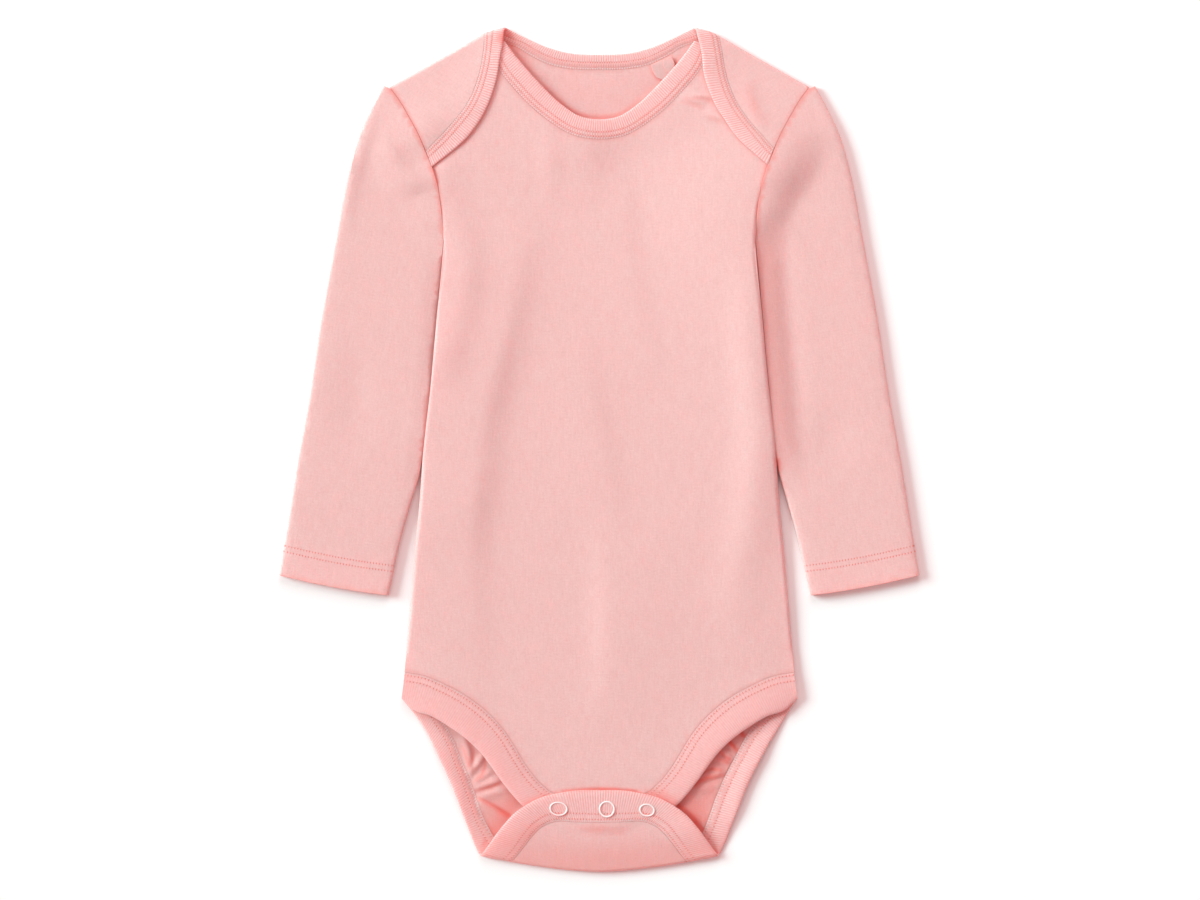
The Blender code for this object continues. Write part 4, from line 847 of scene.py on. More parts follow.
def blend(tree, factor, first, second):
    """The first color where the factor is 0, the second where it is 1."""
    mix = tree.nodes.new("ShaderNodeMix")
    mix.data_type = "RGBA"
    mix.clamp_factor = True
    wire(tree, factor, mix.inputs["Factor"])
    wire(tree, first, mix.inputs["A"])
    wire(tree, second, mix.inputs["B"])
    return mix.outputs["Result"]


# %% Helpers for node groups
def new_group(name, inputs, outputs):
    """An empty node group with named sockets; returns the tree, its input and its output node."""
    tree = bpy.data.node_groups.new(name, "ShaderNodeTree")
    for title, kind, value in inputs:
        socket = tree.interface.new_socket(title, in_out="INPUT", socket_type=kind)
        if value is not None:
            socket.default_value = value
    for title in outputs:
        tree.interface.new_socket(title, in_out="OUTPUT", socket_type="NodeSocketFloat")
    return tree, tree.nodes.new("NodeGroupInput"), tree.nodes.new("NodeGroupOutput")


def place_group(tree, group, map_name, values):
    """A node group in a material, on one of the piece's own maps and with its own values."""
    cloth_map = tree.nodes.new("ShaderNodeUVMap")
    cloth_map.uv_map = map_name
    made = tree.nodes.new("ShaderNodeGroup")
    made.node_tree = group
    wire(tree, cloth_map.outputs[0], made.inputs["Millimetres"])
    settings(made, values)
    return made.outputs


def bump_from(tree, height, strength, distance, shader):
    """Low relief from a height, for the light only; the distance is in millimetres."""
    bump = tree.nodes.new("ShaderNodeBump")
    settings(bump, {"Strength": strength, "Distance": distance * MM})
    wire(tree, height, bump.inputs["Height"])
    wire(tree, bump.outputs[0], shader.inputs["Normal"])


# %% Knit group
def make_knit_group():
    """Upright wales, flecks and a slower unevenness. Shade is 0.5 on average."""
    tree, given, made = new_group(
        "interlock knit",
        [("Millimetres", "NodeSocketVector", None), ("Flecks", "NodeSocketFloat", 1.0)],
        ["Height", "Shade"])
    place = given.outputs["Millimetres"]
    wales = stretched_noise(tree, place, 0.95, 6.0)             # the fine upright lines
    loops = stretched_noise(tree, place, 0.8, 0.9, detail=1.0)  # single stitches
    flecks = stretched_noise(tree, place, 2.6, 0.9)             # fibres that took the dye otherwise
    slow = stretched_noise(tree, place, 5.0, 9.0)               # lighter and darker places
    height = calc(tree, "MULTIPLY_ADD", wales, 0.6, calc(tree, "MULTIPLY", loops, 0.4))
    lively = calc(tree, "ADD", calc(tree, "MULTIPLY_ADD", wales, 0.7, -0.35),
                  calc(tree, "MULTIPLY_ADD", flecks, 0.8, -0.4))
    lively = calc(tree, "MULTIPLY_ADD", calc(tree, "MULTIPLY_ADD", loops, 1.0, -0.5), 0.8, lively)
    shade = calc(tree, "MULTIPLY_ADD", lively, given.outputs["Flecks"], 0.5)
    shade = calc(tree, "ADD", shade, calc(tree, "MULTIPLY_ADD", slow, 0.4, -0.2))
    wire(tree, height, made.inputs["Height"])
    wire(tree, shade, made.inputs["Shade"])
    return tree


# %% Rib group
def make_rib_group():
    """One ridge per pitch across the strip. Its strength fades in and out along the strip."""
    tree, given, made = new_group(
        "one by one rib",
        [("Millimetres", "NodeSocketVector", None), ("Pitch", "NodeSocketFloat", 1.25),
         ("Strength", "NodeSocketFloat", 1.0)],
        ["Height", "Shade"])
    place = given.outputs["Millimetres"]
    split = tree.nodes.new("ShaderNodeSeparateXYZ")
    wire(tree, place, split.inputs[0])
    turns = calc(tree, "DIVIDE", split.outputs["X"], given.outputs["Pitch"])
    wave = calc(tree, "COSINE", calc(tree, "MULTIPLY", turns, 2 * math.pi))
    strength = calc(tree, "MULTIPLY_ADD", stretched_noise(tree, place, 17.0, 9.0), 1.6, -0.15)
    strength = calc(tree, "MULTIPLY", strength, given.outputs["Strength"])
    height = calc(tree, "MULTIPLY", wave, strength)
    flecks = stretched_noise(tree, place, 1.0, 2.0)
    # Painted light and shade: the shade follows the ribs, lighter on each ridge and darker in each
    # valley, and flecks vary it at random.
    shade = calc(tree, "MULTIPLY_ADD", height, 0.8, 0.25)
    shade = calc(tree, "MULTIPLY_ADD", flecks, 0.5, shade)
    wire(tree, calc(tree, "MULTIPLY_ADD", height, 0.3, 0.5), made.inputs["Height"])
    wire(tree, shade, made.inputs["Shade"])
    return tree


# %% Needle holes
HOLE_ALONG = 0.38           # half of a needle hole along the row
HOLE_ACROSS = 0.75          # and across it


def make_holes_group():
    """Painted shade in the pits where the needles of a coverstitch went through, long across their two
    rows.
    """
    tree, given, made = new_group(
        "needle holes",
        [("Millimetres", "NodeSocketVector", None), ("Pitch", "NodeSocketFloat", 2.0),
         ("First row", "NodeSocketFloat", 1.6), ("Second row", "NodeSocketFloat", 4.4)],
        ["Mask"])
    split = tree.nodes.new("ShaderNodeSeparateXYZ")
    wire(tree, given.outputs["Millimetres"], split.inputs[0])
    pitch = given.outputs["Pitch"]
    along = calc(tree, "PINGPONG", split.outputs["X"], calc(tree, "MULTIPLY", pitch, 0.5))
    rows = []
    for title in ("First row", "Second row"):
        across = calc(tree, "SUBTRACT", split.outputs["Y"], given.outputs[title])
        rows.append(calc(tree, "ABSOLUTE", across))
    along = calc(tree, "DIVIDE", along, HOLE_ALONG)
    away = calc(tree, "DIVIDE", calc(tree, "MINIMUM", *rows), HOLE_ACROSS)
    reach = calc(tree, "SQRT", calc(tree, "ADD", calc(tree, "MULTIPLY", along, along),
                                    calc(tree, "MULTIPLY", away, away)))
    uneven = stretched_noise(tree, given.outputs["Millimetres"], 2.2, 2.2)
    depth = calc(tree, "MULTIPLY_ADD", uneven, 2.4, 0.2)
    mask = calc(tree, "MULTIPLY", calc(tree, "SUBTRACT", 1.0, reach), depth)
    wire(tree, mask, made.inputs["Mask"])
    return tree


# %% Cloth materials
PINK_LIGHT = (0.900, 0.580, 0.562)
PINK_DEEP = (0.810, 0.458, 0.442)
# Rib colors paint light and shade: the lighter ones on the ridges, the deep one in the valleys.
RIB_LIT = (0.970, 0.670, 0.655)
LEG_RIB_LIT = (0.960, 0.635, 0.620)
RIB_SHADED = (0.780, 0.345, 0.330)
THREAD_LIGHT = (0.95, 0.56, 0.54)
THREAD_DEEP = (0.89, 0.47, 0.45)
# Painted shade in the needle holes.
HOLE_SHADE_PINK = (0.78, 0.22, 0.19)
# Painted bounce light and shade: a warmer, redder pink where other cloth is near.
PAINTED_BOUNCE_PINK = (1.00, 0.44, 0.41)          # in the folds between layers
# Painted shade: the darker, redder pink of creases, corners and seam grooves.
PAINTED_SHADE_PINK = (0.86, 0.21, 0.18)          # narrow places, where light comes only through cloth
SHEEN_PINK = (1.0, 0.6, 0.58, 1.0)      # the fuzz on the cloth
COTTON_ROUGHNESS = 0.85
# Painted bounce light and shade near other cloth: how near it starts and how fast it grows.
BOUNCE_REACH = 5.0                     # how near the next layer makes the pink warmer
BOUNCE_GAIN = 1.35                     # how fast it does so
BOUNCE_START = -0.02                   # so that open cloth keeps its own pink

groups = {"knit": make_knit_group(), "rib": make_rib_group(), "holes": make_holes_group()}
SewnRows = namedtuple("SewnRows", "near far pitch map")
NECK_ROWS = SewnRows(1.6, 3.9, 1.25, "millimetres")     # from the seam to the two needle rows
LEG_ROWS = SewnRows(1.6, 4.6, 1.7, "millimetres")       # and from one stitch to the next
CUFF_ROWS = SewnRows(12.6, 15.6, 1.6, "hem")            # from the cuff


def cloth_material(name, group, light, deep, bump, rows=None, strength=None, depth=1.0):
    """Dyed cotton: a knit group gives its shade and its height; rows are two lines of holes.

    `bump` is the height of its relief in millimetres. Light goes into the cloth, the red of it
    farthest; `depth` scales how far. Between layers, where light comes from cloth to cloth, the pink
    is painted warmer, as bounce light and shade; the "deep" attribute paints shade as a darker pink,
    and the rows paint shade into their needle holes.
    """
    material = plain_material(name, light, COTTON_ROUGHNESS)
    tree = material.node_tree
    shader = tree.nodes["Principled BSDF"]
    settings(shader, {
        "Sheen Weight": 0.1, "Sheen Tint": SHEEN_PINK, "Sheen Roughness": 0.4,
        "Specular IOR Level": 0.14, "Subsurface Weight": 0.7 if depth else 0.0,
        "Subsurface Radius": (1.0, 0.3, 0.28), "Subsurface Scale": 2.0 * depth * MM})
    knit = place_group(tree, groups[group], "millimetres",
                       {} if strength is None else {"Strength": strength})
    color = blend(tree, knit["Shade"], (*deep, 1.0), (*light, 1.0))
    # Painted bounce light and shade: the nearer other cloth is, the warmer and redder the pink.
    between = tree.nodes.new("ShaderNodeAmbientOcclusion")
    between.samples = 4
    settings(between, {"Distance": BOUNCE_REACH * MM})
    closed = calc(tree, "SUBTRACT", 1.0, between.outputs["AO"])
    closed = calc(tree, "MULTIPLY_ADD", closed, BOUNCE_GAIN, BOUNCE_START)
    color = blend(tree, closed, color, (*PAINTED_BOUNCE_PINK, 1.0))
    # Painted shade: where the "deep" attribute says so, the color turns a darker, redder pink.
    narrow = tree.nodes.new("ShaderNodeAttribute")
    narrow.attribute_name = "deep"
    color = blend(tree, narrow.outputs["Fac"], color, (*PAINTED_SHADE_PINK, 1.0))
    # Painted shade in the needle holes of the rows.
    if rows:
        holes = place_group(tree, groups["holes"], rows.map, {
            "Pitch": rows.pitch, "First row": rows.near, "Second row": rows.far})
        color = blend(tree, holes["Mask"], color, (*HOLE_SHADE_PINK, 1.0))
    wire(tree, color, shader.inputs["Base Color"])
    bump_from(tree, knit["Height"], 1.0, bump, shader)
    return material


jersey = cloth_material("pink interlock", "knit", PINK_LIGHT, PINK_DEEP, 0.12)
sleeve_knit = cloth_material("pink interlock of the sleeves", "knit", PINK_LIGHT, PINK_DEEP, 0.12,
                             CUFF_ROWS)
neck_rib = cloth_material("pink rib of the neck", "rib", RIB_LIT, RIB_SHADED, 0.25, NECK_ROWS,
                          strength=0.65)
leg_rib = cloth_material("pink rib of the front legs", "rib", LEG_RIB_LIT, RIB_SHADED, 0.1,
                         LEG_ROWS, strength=0.2)
flap_rib = cloth_material("pink rib of the flap", "rib", RIB_LIT, RIB_SHADED, 0.2, LEG_ROWS,
                          strength=0.45)
thread = cloth_material("pink sewing thread", "knit", THREAD_LIGHT, THREAD_DEEP, 0.04, depth=0.0)
print("cloth:", ", ".join(m.name for m in bpy.data.materials if m.name.startswith("pink")))


# %% [markdown]
# ## What the snaps look like
# The snaps have a thin coat of pale enamel with a faint pink tint. With one color and one
# roughness they would look like plastic, so a soft noise varies both a little.

# %% Enamel
ENAMEL_PINK = (0.95, 0.79, 0.77, 1.0)   # its pinker places, spread by noise
ENAMEL_PALE = (0.96, 0.87, 0.86, 1.0)
ENAMEL_MEAN = (0.95, 0.86, 0.84)
CLOUD = 1.4                             # how wide its uneven places are


def enamel_material():
    """Pale enamel that lets a little of the pink through and isn't equally smooth everywhere."""
    material = plain_material("pale enamel", ENAMEL_MEAN, 0.45)
    tree = material.node_tree
    shader = tree.nodes["Principled BSDF"]
    place = tree.nodes.new("ShaderNodeTexCoord").outputs["Object"]
    cloudy = stretched_noise(tree, place, CLOUD * MM, CLOUD * MM)
    color = blend(tree, cloudy, ENAMEL_PINK, ENAMEL_PALE)
    wire(tree, color, shader.inputs["Base Color"])
    wire(tree, calc(tree, "MULTIPLY_ADD", cloudy, 0.3, 0.3), shader.inputs["Roughness"])
    bump_from(tree, cloudy, 0.4, 0.05, shader)
    return material


enamel = enamel_material()
print("snaps:", enamel.name)

# %% [markdown]
# ## From a flat cut to cloth
# A panel starts as a flat outline filled with small triangles. A function then says where each of
# its points goes, and a second layer of points beside the first turns the sheet into a wall with
# a rounded rim. The flat places are kept as a map in millimetres for the knit. A Solidify modifier
# could make the wall too. Here the rim gets a row of points of its own, which rounds the cut edge
# and carries painted shade, the darker pink of a seam's groove.

# %% Triangles over an outline
ROW_SHARE = 0.87            # from row to row of nearly even triangles, as a share of their side
CLEAR_SHARE = 0.5           # how much of a step the points of a surface keep from its lines
NEAR_FINE = 1.4             # and from closely set points
NEAR_EDGE = 0.5             # how far closely set points keep from an outline
SAME_POINT = 1e-4           # points closer than this are one


def lattice(outline, step):
    """Evenly staggered points over the box of an outline."""
    low, high = outline.min(0), outline.max(0)
    rows = []
    for j, y in enumerate(np.arange(low[1] + step / 2, high[1], step * ROW_SHARE)):
        xs = np.arange(low[0] + (0.5 if j % 2 else 1.0) * step / 2, high[0], step)
        rows.append(np.column_stack([xs, np.full(len(xs), y)]))
    return np.vstack(rows)


def inside(outline, xy):
    """Which points lie within a closed outline."""
    x, y = xy[:, 0, None], xy[:, 1, None]
    a, b = outline, np.roll(outline, -1, axis=0)
    crosses = (a[:, 1] > y) != (b[:, 1] > y)
    rise = np.where(b[:, 1] == a[:, 1], 1e-9, b[:, 1] - a[:, 1])
    left_of = x < a[:, 0] + (y - a[:, 1]) * (b[:, 0] - a[:, 0]) / rise
    return (crosses & left_of).sum(1) % 2 == 1


def clear_of(points, others, distance):
    """Those points that keep a distance from all the others."""
    away = np.linalg.norm(points[:, None] - others[None], axis=2)
    return points[away.min(1) > distance]


def points_near(ridges, reach, step):
    """Closely set points along narrow folds, as far as they reach."""
    paths = [smooth_curve(ridge.points, PATH_STEP)[:, :2] for ridge in ridges]
    ends = np.vstack(paths)
    grid = lattice(np.vstack([ends.min(0) - reach, ends.max(0) + reach]), step)
    away = np.min([nearest_on(path, grid)[0] for path in paths], axis=0)
    return grid[away < reach]


# %% Cutting a panel
def cut_panel(outline, points, lines=()):
    """Triangles over an outline, through single points and along inner lines.

    Returns the pattern's points, its triangles and the number that each outline point has got.
    """
    ahead = np.roll(outline, -1, axis=0)
    area = (outline[:, 0] * ahead[:, 1] - ahead[:, 0] * outline[:, 1]).sum()
    border = list(range(len(outline)))
    corners = [tuple(p) for p in outline]
    edges = []
    for line in lines:
        first = len(corners)
        corners += [tuple(p) for p in line]
        edges += [(k, k + 1) for k in range(first, len(corners) - 1)]
    corners += [tuple(p) for p in points]
    border_face = border if area > 0 else border[::-1]
    found = delaunay_2d_cdt(corners, edges, [border_face], 0, SAME_POINT)
    pattern = np.array([tuple(p) for p in found[0]])
    triangles = np.array([face for face, source in zip(found[2], found[5]) if source])
    number = {old: new for new, sources in enumerate(found[3]) for old in sources}
    used, renumbered = np.unique(triangles, return_inverse=True)
    place = {old: new for new, old in enumerate(used.tolist())}
    triangles = renumbered.reshape(-1, 3).tolist()
    return pattern[used], triangles, [place[number[k]] for k in border]

# %% A mesh with its flat map
SHARP = 50.0                # degrees from face to face that make a crease


def add_map(mesh, name, flat_map):
    """A map with one place for each point of the mesh."""
    corners = np.zeros(len(mesh.loops), int)
    mesh.loops.foreach_get("vertex_index", corners)
    layer = mesh.uv_layers.new(name=name)
    layer.data.foreach_set("uv", flat_map[corners].astype(np.float32).ravel())


def cloth_object(name, points, faces, flat_map, material, painted_shade=0.0):
    """A smooth mesh object from points in millimetres, with its flat map.

    The attribute "deep" holds how much painted shade, a darker, redder pink, each point takes.
    """
    mesh = bpy.data.meshes.new(name)
    mesh.from_pydata((points * MM).tolist(), [], [list(map(int, face)) for face in faces])
    add_map(mesh, "millimetres", flat_map)
    share = np.clip(relief(PAINTED_SHADE_PLACES.get(name, []), points[:, :2]) + painted_shade, 0.0, 1.0)
    mesh.attributes.new("deep", "FLOAT", "POINT").data.foreach_set("value", share)
    mesh.shade_smooth()
    mesh.set_sharp_from_angle(angle=math.radians(SHARP))
    mesh.materials.append(material)
    item = bpy.data.objects.new(name, mesh)
    bpy.context.collection.objects.link(item)
    print(name, len(mesh.polygons), "faces")
    return item

# %% A wall of cloth
# Painted shade on a wall's rim, as a share of the darker pink:
SEAM_SHADE_SHARE = 0.6            # deeper tone in the groove of a seam
RIM_SHADE_SHARE = 0.22            # and on the edge beside it
RIM_HEIGHT = 0.65           # the middle of a rim lies this share of the way up
RIM_BULGE = 0.25            # and bulges out by this share of the wall


def smooth_normals(points, faces):
    """Normal at each point of a triangle mesh, weighted by the area of its faces."""
    tri = np.array(faces)
    a, b, c = points[tri[:, 0]], points[tri[:, 1]], points[tri[:, 2]]
    across = np.cross(b - a, c - a)
    normals = np.zeros_like(points)
    for k in range(3):
        np.add.at(normals, tri[:, k], across)
    return normals / np.linalg.norm(normals, axis=1)[:, None]


def shell(name, middle, triangles, thickness, flat_map, material, extra_inside=0.0,
          paint_rim_shade=True):
    """A closed wall round a sheet of triangles, its rim rounded, with its map in millimetres.

    `extra_inside` thickens it on its lower side, as a turned-up hem does.
    """
    count = len(middle)
    normals = smooth_normals(middle, triangles)
    upper = middle + normals * thickness / 2
    lower = middle - normals * np.reshape(thickness / 2 + extra_inside, (-1, 1))
    sides = {(face[k], face[(k + 1) % 3]) for face in triangles for k in range(3)}
    rim = sorted((a, b) for a, b in sides if (b, a) not in sides)
    out = np.zeros((count, 3))
    for a, b in rim:
        outward = np.cross(middle[b] - middle[a], normals[a])
        out[a] += outward / np.linalg.norm(outward)
        out[b] += outward / np.linalg.norm(outward)
    on_rim = sorted({a for a, b in rim})
    place = {a: 2 * count + k for k, a in enumerate(on_rim)}
    spread = out[on_rim] / np.linalg.norm(out[on_rim], axis=1)[:, None]
    bulge = upper[on_rim] * RIM_HEIGHT + lower[on_rim] * (1.0 - RIM_HEIGHT)
    bulge += spread * thickness * RIM_BULGE
    faces = [tuple(face) for face in triangles]
    faces += [tuple(c + count for c in reversed(face)) for face in triangles]
    for a, b in rim:
        faces += [(b, a, place[a], place[b]), (place[b], place[a], a + count, b + count)]
    points = np.vstack([upper, lower, bulge])
    flat = np.vstack([flat_map, flat_map, flat_map[on_rim]])
    # Painted shade: the rim's edge takes a little, and its outermost row, the groove of a seam, more.
    painted_shade = np.zeros(len(points))
    if paint_rim_shade:
        painted_shade[on_rim] = RIM_SHADE_SHARE
        painted_shade[2 * count:] = SEAM_SHADE_SHARE
    return cloth_object(name, points, faces, flat, material, painted_shade)


# %% [markdown]
# ## Which solid a piece stands for
# Each cloth piece takes the place of one solid of the frame.

# %% Joining a piece to the frame
def flat_area(pattern, triangles):
    """Area of a pattern in square metres."""
    tri = np.array(triangles)
    a, b, c = pattern[tri[:, 0]], pattern[tri[:, 1]], pattern[tri[:, 2]]
    u, v = b - a, c - a
    return 0.5 * np.abs(u[:, 0] * v[:, 1] - u[:, 1] * v[:, 0]).sum() * MM * MM


def declare(item, node, flat, area):
    """Hangs the piece on the root, hides the node it stands for, and prints the size it was cut to."""
    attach(item, "root")
    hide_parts(node)
    print(node, "cut", [round(s, 3) for s in flat], "m, area", round(area, 4), "m2")


def box_of(pattern):
    """Width and length of a pattern's box, in metres."""
    return tuple((pattern.max(0) - pattern.min(0)) * MM)

# %% [markdown]
# ## The bindings' ribs
# The panels end where the bindings start, so both read the same ribs. A binding that goes round a
# shoulder or the crotch is laid out flat first, like the panel it is sewn to.

# %% Ribs
def turned_ribs(turn, ribs):
    """Pattern places of ribs that lie on the top layer."""
    rows = np.array(ribs, float)
    return np.hstack([turn.unfold(rows[:, :2]), turn.unfold(rows[:, 2:])])


LEFT_LAP = turned_ribs(TURN_LEFT, LAP_LEFT)[::-1]
RIGHT_LAP = turned_ribs(TURN_RIGHT, LAP_RIGHT)
UNFOLDED_FLAP = turned_ribs(TURN_CROTCH, whole(FLAP[::-1]))[::-1]
NECK_FRONT_RIBS = smooth_curve(whole(FRONT_NECK), RIB_STEP)         # left to right
NECK_BACK_RIBS = smooth_curve(np.vstack([LEFT_LAP, whole(BACK_NECK), RIGHT_LAP]), RIB_STEP)
LEG_FRONT_RIBS = smooth_curve(whole(FRONT_LEG[::-1]), RIB_STEP)     # left leg, tab, right leg
LEG_BACK_RIBS = smooth_curve(                                       # right leg, flap, left leg
    np.vstack([BACK_LEG_RIGHT, UNFOLDED_FLAP, BACK_LEG_LEFT[::-1]]), RIB_STEP)
print("ribs:", len(NECK_FRONT_RIBS), len(NECK_BACK_RIBS), len(LEG_FRONT_RIBS), len(LEG_BACK_RIBS))

# %% Outlines of the panels
SHOULDER_START = 6.0        # the neck's binding covers the shoulder fold this far
LAP_CLEAR = 2.0             # from the lap's binding to the first point of its sewn edge
FOLD_CLEAR = 4.0            # and from the last one to the shoulder fold


def front_outline():
    """Outline of the front panel: neck, shoulder, armhole, side and leg on both sides."""
    along = np.arange(SHOULDER_START, TURN_RIGHT.length, EDGE_STEP)
    shoulder = TURN_RIGHT.join(along, np.full(len(along), -SHOULDER_CLEAR))
    right = np.vstack([shoulder, smooth_curve(ARMHOLE, EDGE_STEP)[1:],
                       smooth_curve(SIDE_SEAM, EDGE_STEP)[1:-1]])
    return np.vstack([NECK_FRONT_RIBS[:, :2], right, LEG_FRONT_RIBS[::-1, :2],
                      mirrored(right)[::-1]])


def back_outline():
    """Outline of the back in pattern places, with its laps and its flap unfolded."""
    armhole = smooth_curve(ARMHOLE, EDGE_STEP)
    y = armhole[:, 1]
    upper = armhole[(y > LAP_RIGHT[-1].seam_y + LAP_CLEAR) & (y < SHOULDER_ARM.y - FOLD_CLEAR)]
    right = np.vstack([TURN_RIGHT.unfold(upper)[::-1], armhole,
                       smooth_curve(SIDE_SEAM, EDGE_STEP)[1:-1]])
    return np.vstack([NECK_BACK_RIBS[:, :2], right, LEG_BACK_RIBS[:, :2], mirrored(right)[::-1]])


FRONT_OUTLINE, BACK_OUTLINE = front_outline(), back_outline()
print("points on the outlines:", len(FRONT_OUTLINE), len(BACK_OUTLINE))

# %% [markdown]
# ## Front and back
# The front is one layer. The back is drawn unfolded with its laps and its flap, and is divided
# most finely where it shows: inside the neck, on the laps, in the leg openings and on the flap.

# %% Front panel
SIDE_ROWS = (0.4, 0.8, 1.3, 2.0)        # from the side seam to rows that let it round off

seam = smooth_curve(ARMHOLE[-3:] + SIDE_SEAM[1:], EDGE_STEP)
rows = np.vstack([beside(seam, -distance)[1:-1] for distance in SIDE_ROWS])
rows = np.vstack([rows, mirrored(rows)])
fine = points_near(FRONT_CREASES + PAINTED_SHADE_PLACES["front_cloth"], GATHER_REACH, CREASE_STEP)
points = clear_of(lattice(FRONT_OUTLINE, CLOTH_STEP), fine, NEAR_FINE)
points = clear_of(points[inside(FRONT_OUTLINE, points)], FRONT_OUTLINE, CLEAR_SHARE * CLOTH_STEP)
fine = clear_of(fine[inside(FRONT_OUTLINE, fine)], FRONT_OUTLINE, NEAR_EDGE)
points = np.vstack([clear_of(points, rows, CLEAR_SHARE * CLOTH_STEP), fine, rows])
pattern, triangles, _ = cut_panel(FRONT_OUTLINE, points)
front = shell("front_cloth", front_surface(WALL)(pattern), triangles, WALL, pattern, jersey)
declare(front, "front_panel", box_of(pattern), flat_area(pattern, triangles))


# %% Back panel
HIDDEN_Y = (-103.0, 147.0)  # the front hides the back between these
TURN_AHEAD = 16.0           # how far the lines of a turn run past its ends
TURN_CLEAR = 3.0            # how far other points keep from them


def hidden(xy):
    """Which points of the back the front hides."""
    return (xy[:, 1] > HIDDEN_Y[0]) & (xy[:, 1] < HIDDEN_Y[1])


def near_turn(xy):
    """Which pattern points lie where the cloth turns over."""
    near = np.zeros(len(xy), bool)
    for turn in TURNS:
        along, beyond = turn.split(xy)
        half_way = math.pi / 2 * turn.radius(along)
        near |= turn.holds(xy) & (np.abs(beyond - half_way) < half_way + TURN_CLEAR)
    return near


def turn_lines():
    """Lines along each turn that let the wall bend evenly."""
    lines = []
    for turn in TURNS:
        along = np.arange(-TURN_AHEAD, turn.length + TURN_AHEAD, CLOTH_STEP)
        for k in range(TURN_STEPS + 1):
            lines.append(turn.join(along, math.pi * turn.radius(along) * k / TURN_STEPS))
    return lines


gathers = np.vstack([points_near(ridges, GATHER_REACH, CREASE_STEP) for ridges in
                     (GATHERS_LEFT + SHADE_IN_LEFT_LEG, GATHERS_RIGHT + SHADE_IN_RIGHT_LEG, SHADE_IN_THE_NECK)])
everywhere, coarse = lattice(BACK_OUTLINE, CLOTH_STEP), lattice(BACK_OUTLINE, HIDDEN_STEP)
fine = everywhere[~hidden(everywhere) & ~near_turn(everywhere)]
points = np.vstack([coarse[hidden(coarse)], clear_of(fine, gathers, NEAR_FINE), gathers])
points = clear_of(points[inside(BACK_OUTLINE, points)], BACK_OUTLINE, NEAR_EDGE)
pattern, triangles, _ = cut_panel(BACK_OUTLINE, points, turn_lines())
back = shell("back_cloth", back_surface(WALL)(pattern), triangles, WALL, pattern, jersey)
declare(back, "back_panel", box_of(pattern), flat_area(pattern, triangles))

# %% [markdown]
# ## Sleeves
# A sleeve lies flat as two layers joined by a narrow round along its outer fold and its underarm
# seam. It is open at the armhole and at the cuff, where the edge is turned up inside and sewn. A
# squashed cylinder would do for a plain tube. Here the layers are cut like a panel and joined by
# half rounds, because the upper one has folds and meets the body's height all along the armhole.

# %% How deep a sleeve is
OUTER_LINE, INNER_LINE, ARMHOLE_LINE, CUFF_LINE = (
    smooth_curve(table, LINE_STEP) for table in (SLEEVE_OUTER, SLEEVE_INNER, ARMHOLE, CUFF))
LAP_Y = (134.0, 144.0)      # the armhole begins to lie on the lap, and lies on it
BINDING_END_Y = 151.0       # where the lap's binding ends in the armhole
BINDING_END_SPREAD = 6.0
UNDERARM_DROP = 1.6         # how much lower the seam gets towards the underarm
UNDERARM_Y = (125.0, 108.0)
SEAM_INWARDS = 3.5          # how far from the armhole the body's height is read
LAP_INWARDS = 0.3           # and how far where the lap lies there
LAP_INWARDS_Y = (134.0, 142.0)
BESIDE_REACH = 5.0          # how far from its inner edge a sleeve lies lower beside the body
UNDERARM_SETTLE = 0.6       # at the underarm the seam's depth is left behind sooner, by this share
UNDERARM_SPAN = 50.0        # and as usual from this far above it
SETTLE_BEND = 1.4           # how late a sleeve's own depth takes over
UNDERARM_CLOSED = (94.0, 107.0)     # the half round of the inner edge ends towards the underarm


def armhole_depth(side):
    """Depth of the sleeve along the armhole line, where it meets the front and the lap."""
    y = ARMHOLE_LINE[:, 1]
    lap = (WALL + GAP) * span_share(y, LAP_Y)
    binding_end = (BINDING - WALL) * np.exp(-((y - BINDING_END_Y) / BINDING_END_SPREAD) ** 2)
    underarm = -UNDERARM_DROP * span_share(y, UNDERARM_Y)
    inwards = SEAM_INWARDS - (SEAM_INWARDS - LAP_INWARDS) * span_share(y, LAP_INWARDS_Y)
    body = front_floor(beside(ARMHOLE_LINE, -inwards) * (side, 1))
    return body + lap + binding_end + underarm


def sleeve_depth(xy, sleeve):
    """From the middle of a sleeve's lower wall to the middle of its upper wall, right-hand plan."""
    from_inner = nearest_on(INNER_LINE, xy)[0]
    from_edge = np.minimum(nearest_on(OUTER_LINE, xy)[0], from_inner)
    from_seam, along, _ = nearest_on(ARMHOLE_LINE, xy)
    folds_at_seam = relief(sleeve.folds, ARMHOLE_LINE * (sleeve.side, 1))
    at_seam = armhole_depth(sleeve.side) - folds_at_seam
    at_seam = np.interp(along, marks_of(ARMHOLE_LINE), at_seam)
    free = SLEEVE_EDGE + sleeve.loft * ease(from_edge / SLEEVE_SHOULDER)
    beside_body = np.exp(-(from_inner / BESIDE_REACH) ** 2) * span_share(xy[:, 1], SLEEVE_BESIDE)
    free -= BESIDE_LOW * beside_body
    upwards = ease((marks_of(ARMHOLE_LINE)[-1] - along) / UNDERARM_SPAN)
    settled_after = sleeve.settle * (UNDERARM_SETTLE + (1.0 - UNDERARM_SETTLE) * upwards)
    share = ease((from_seam / settled_after) ** SETTLE_BEND)
    return (1 - share) * at_seam + share * free + relief(sleeve.folds, xy * (sleeve.side, 1))


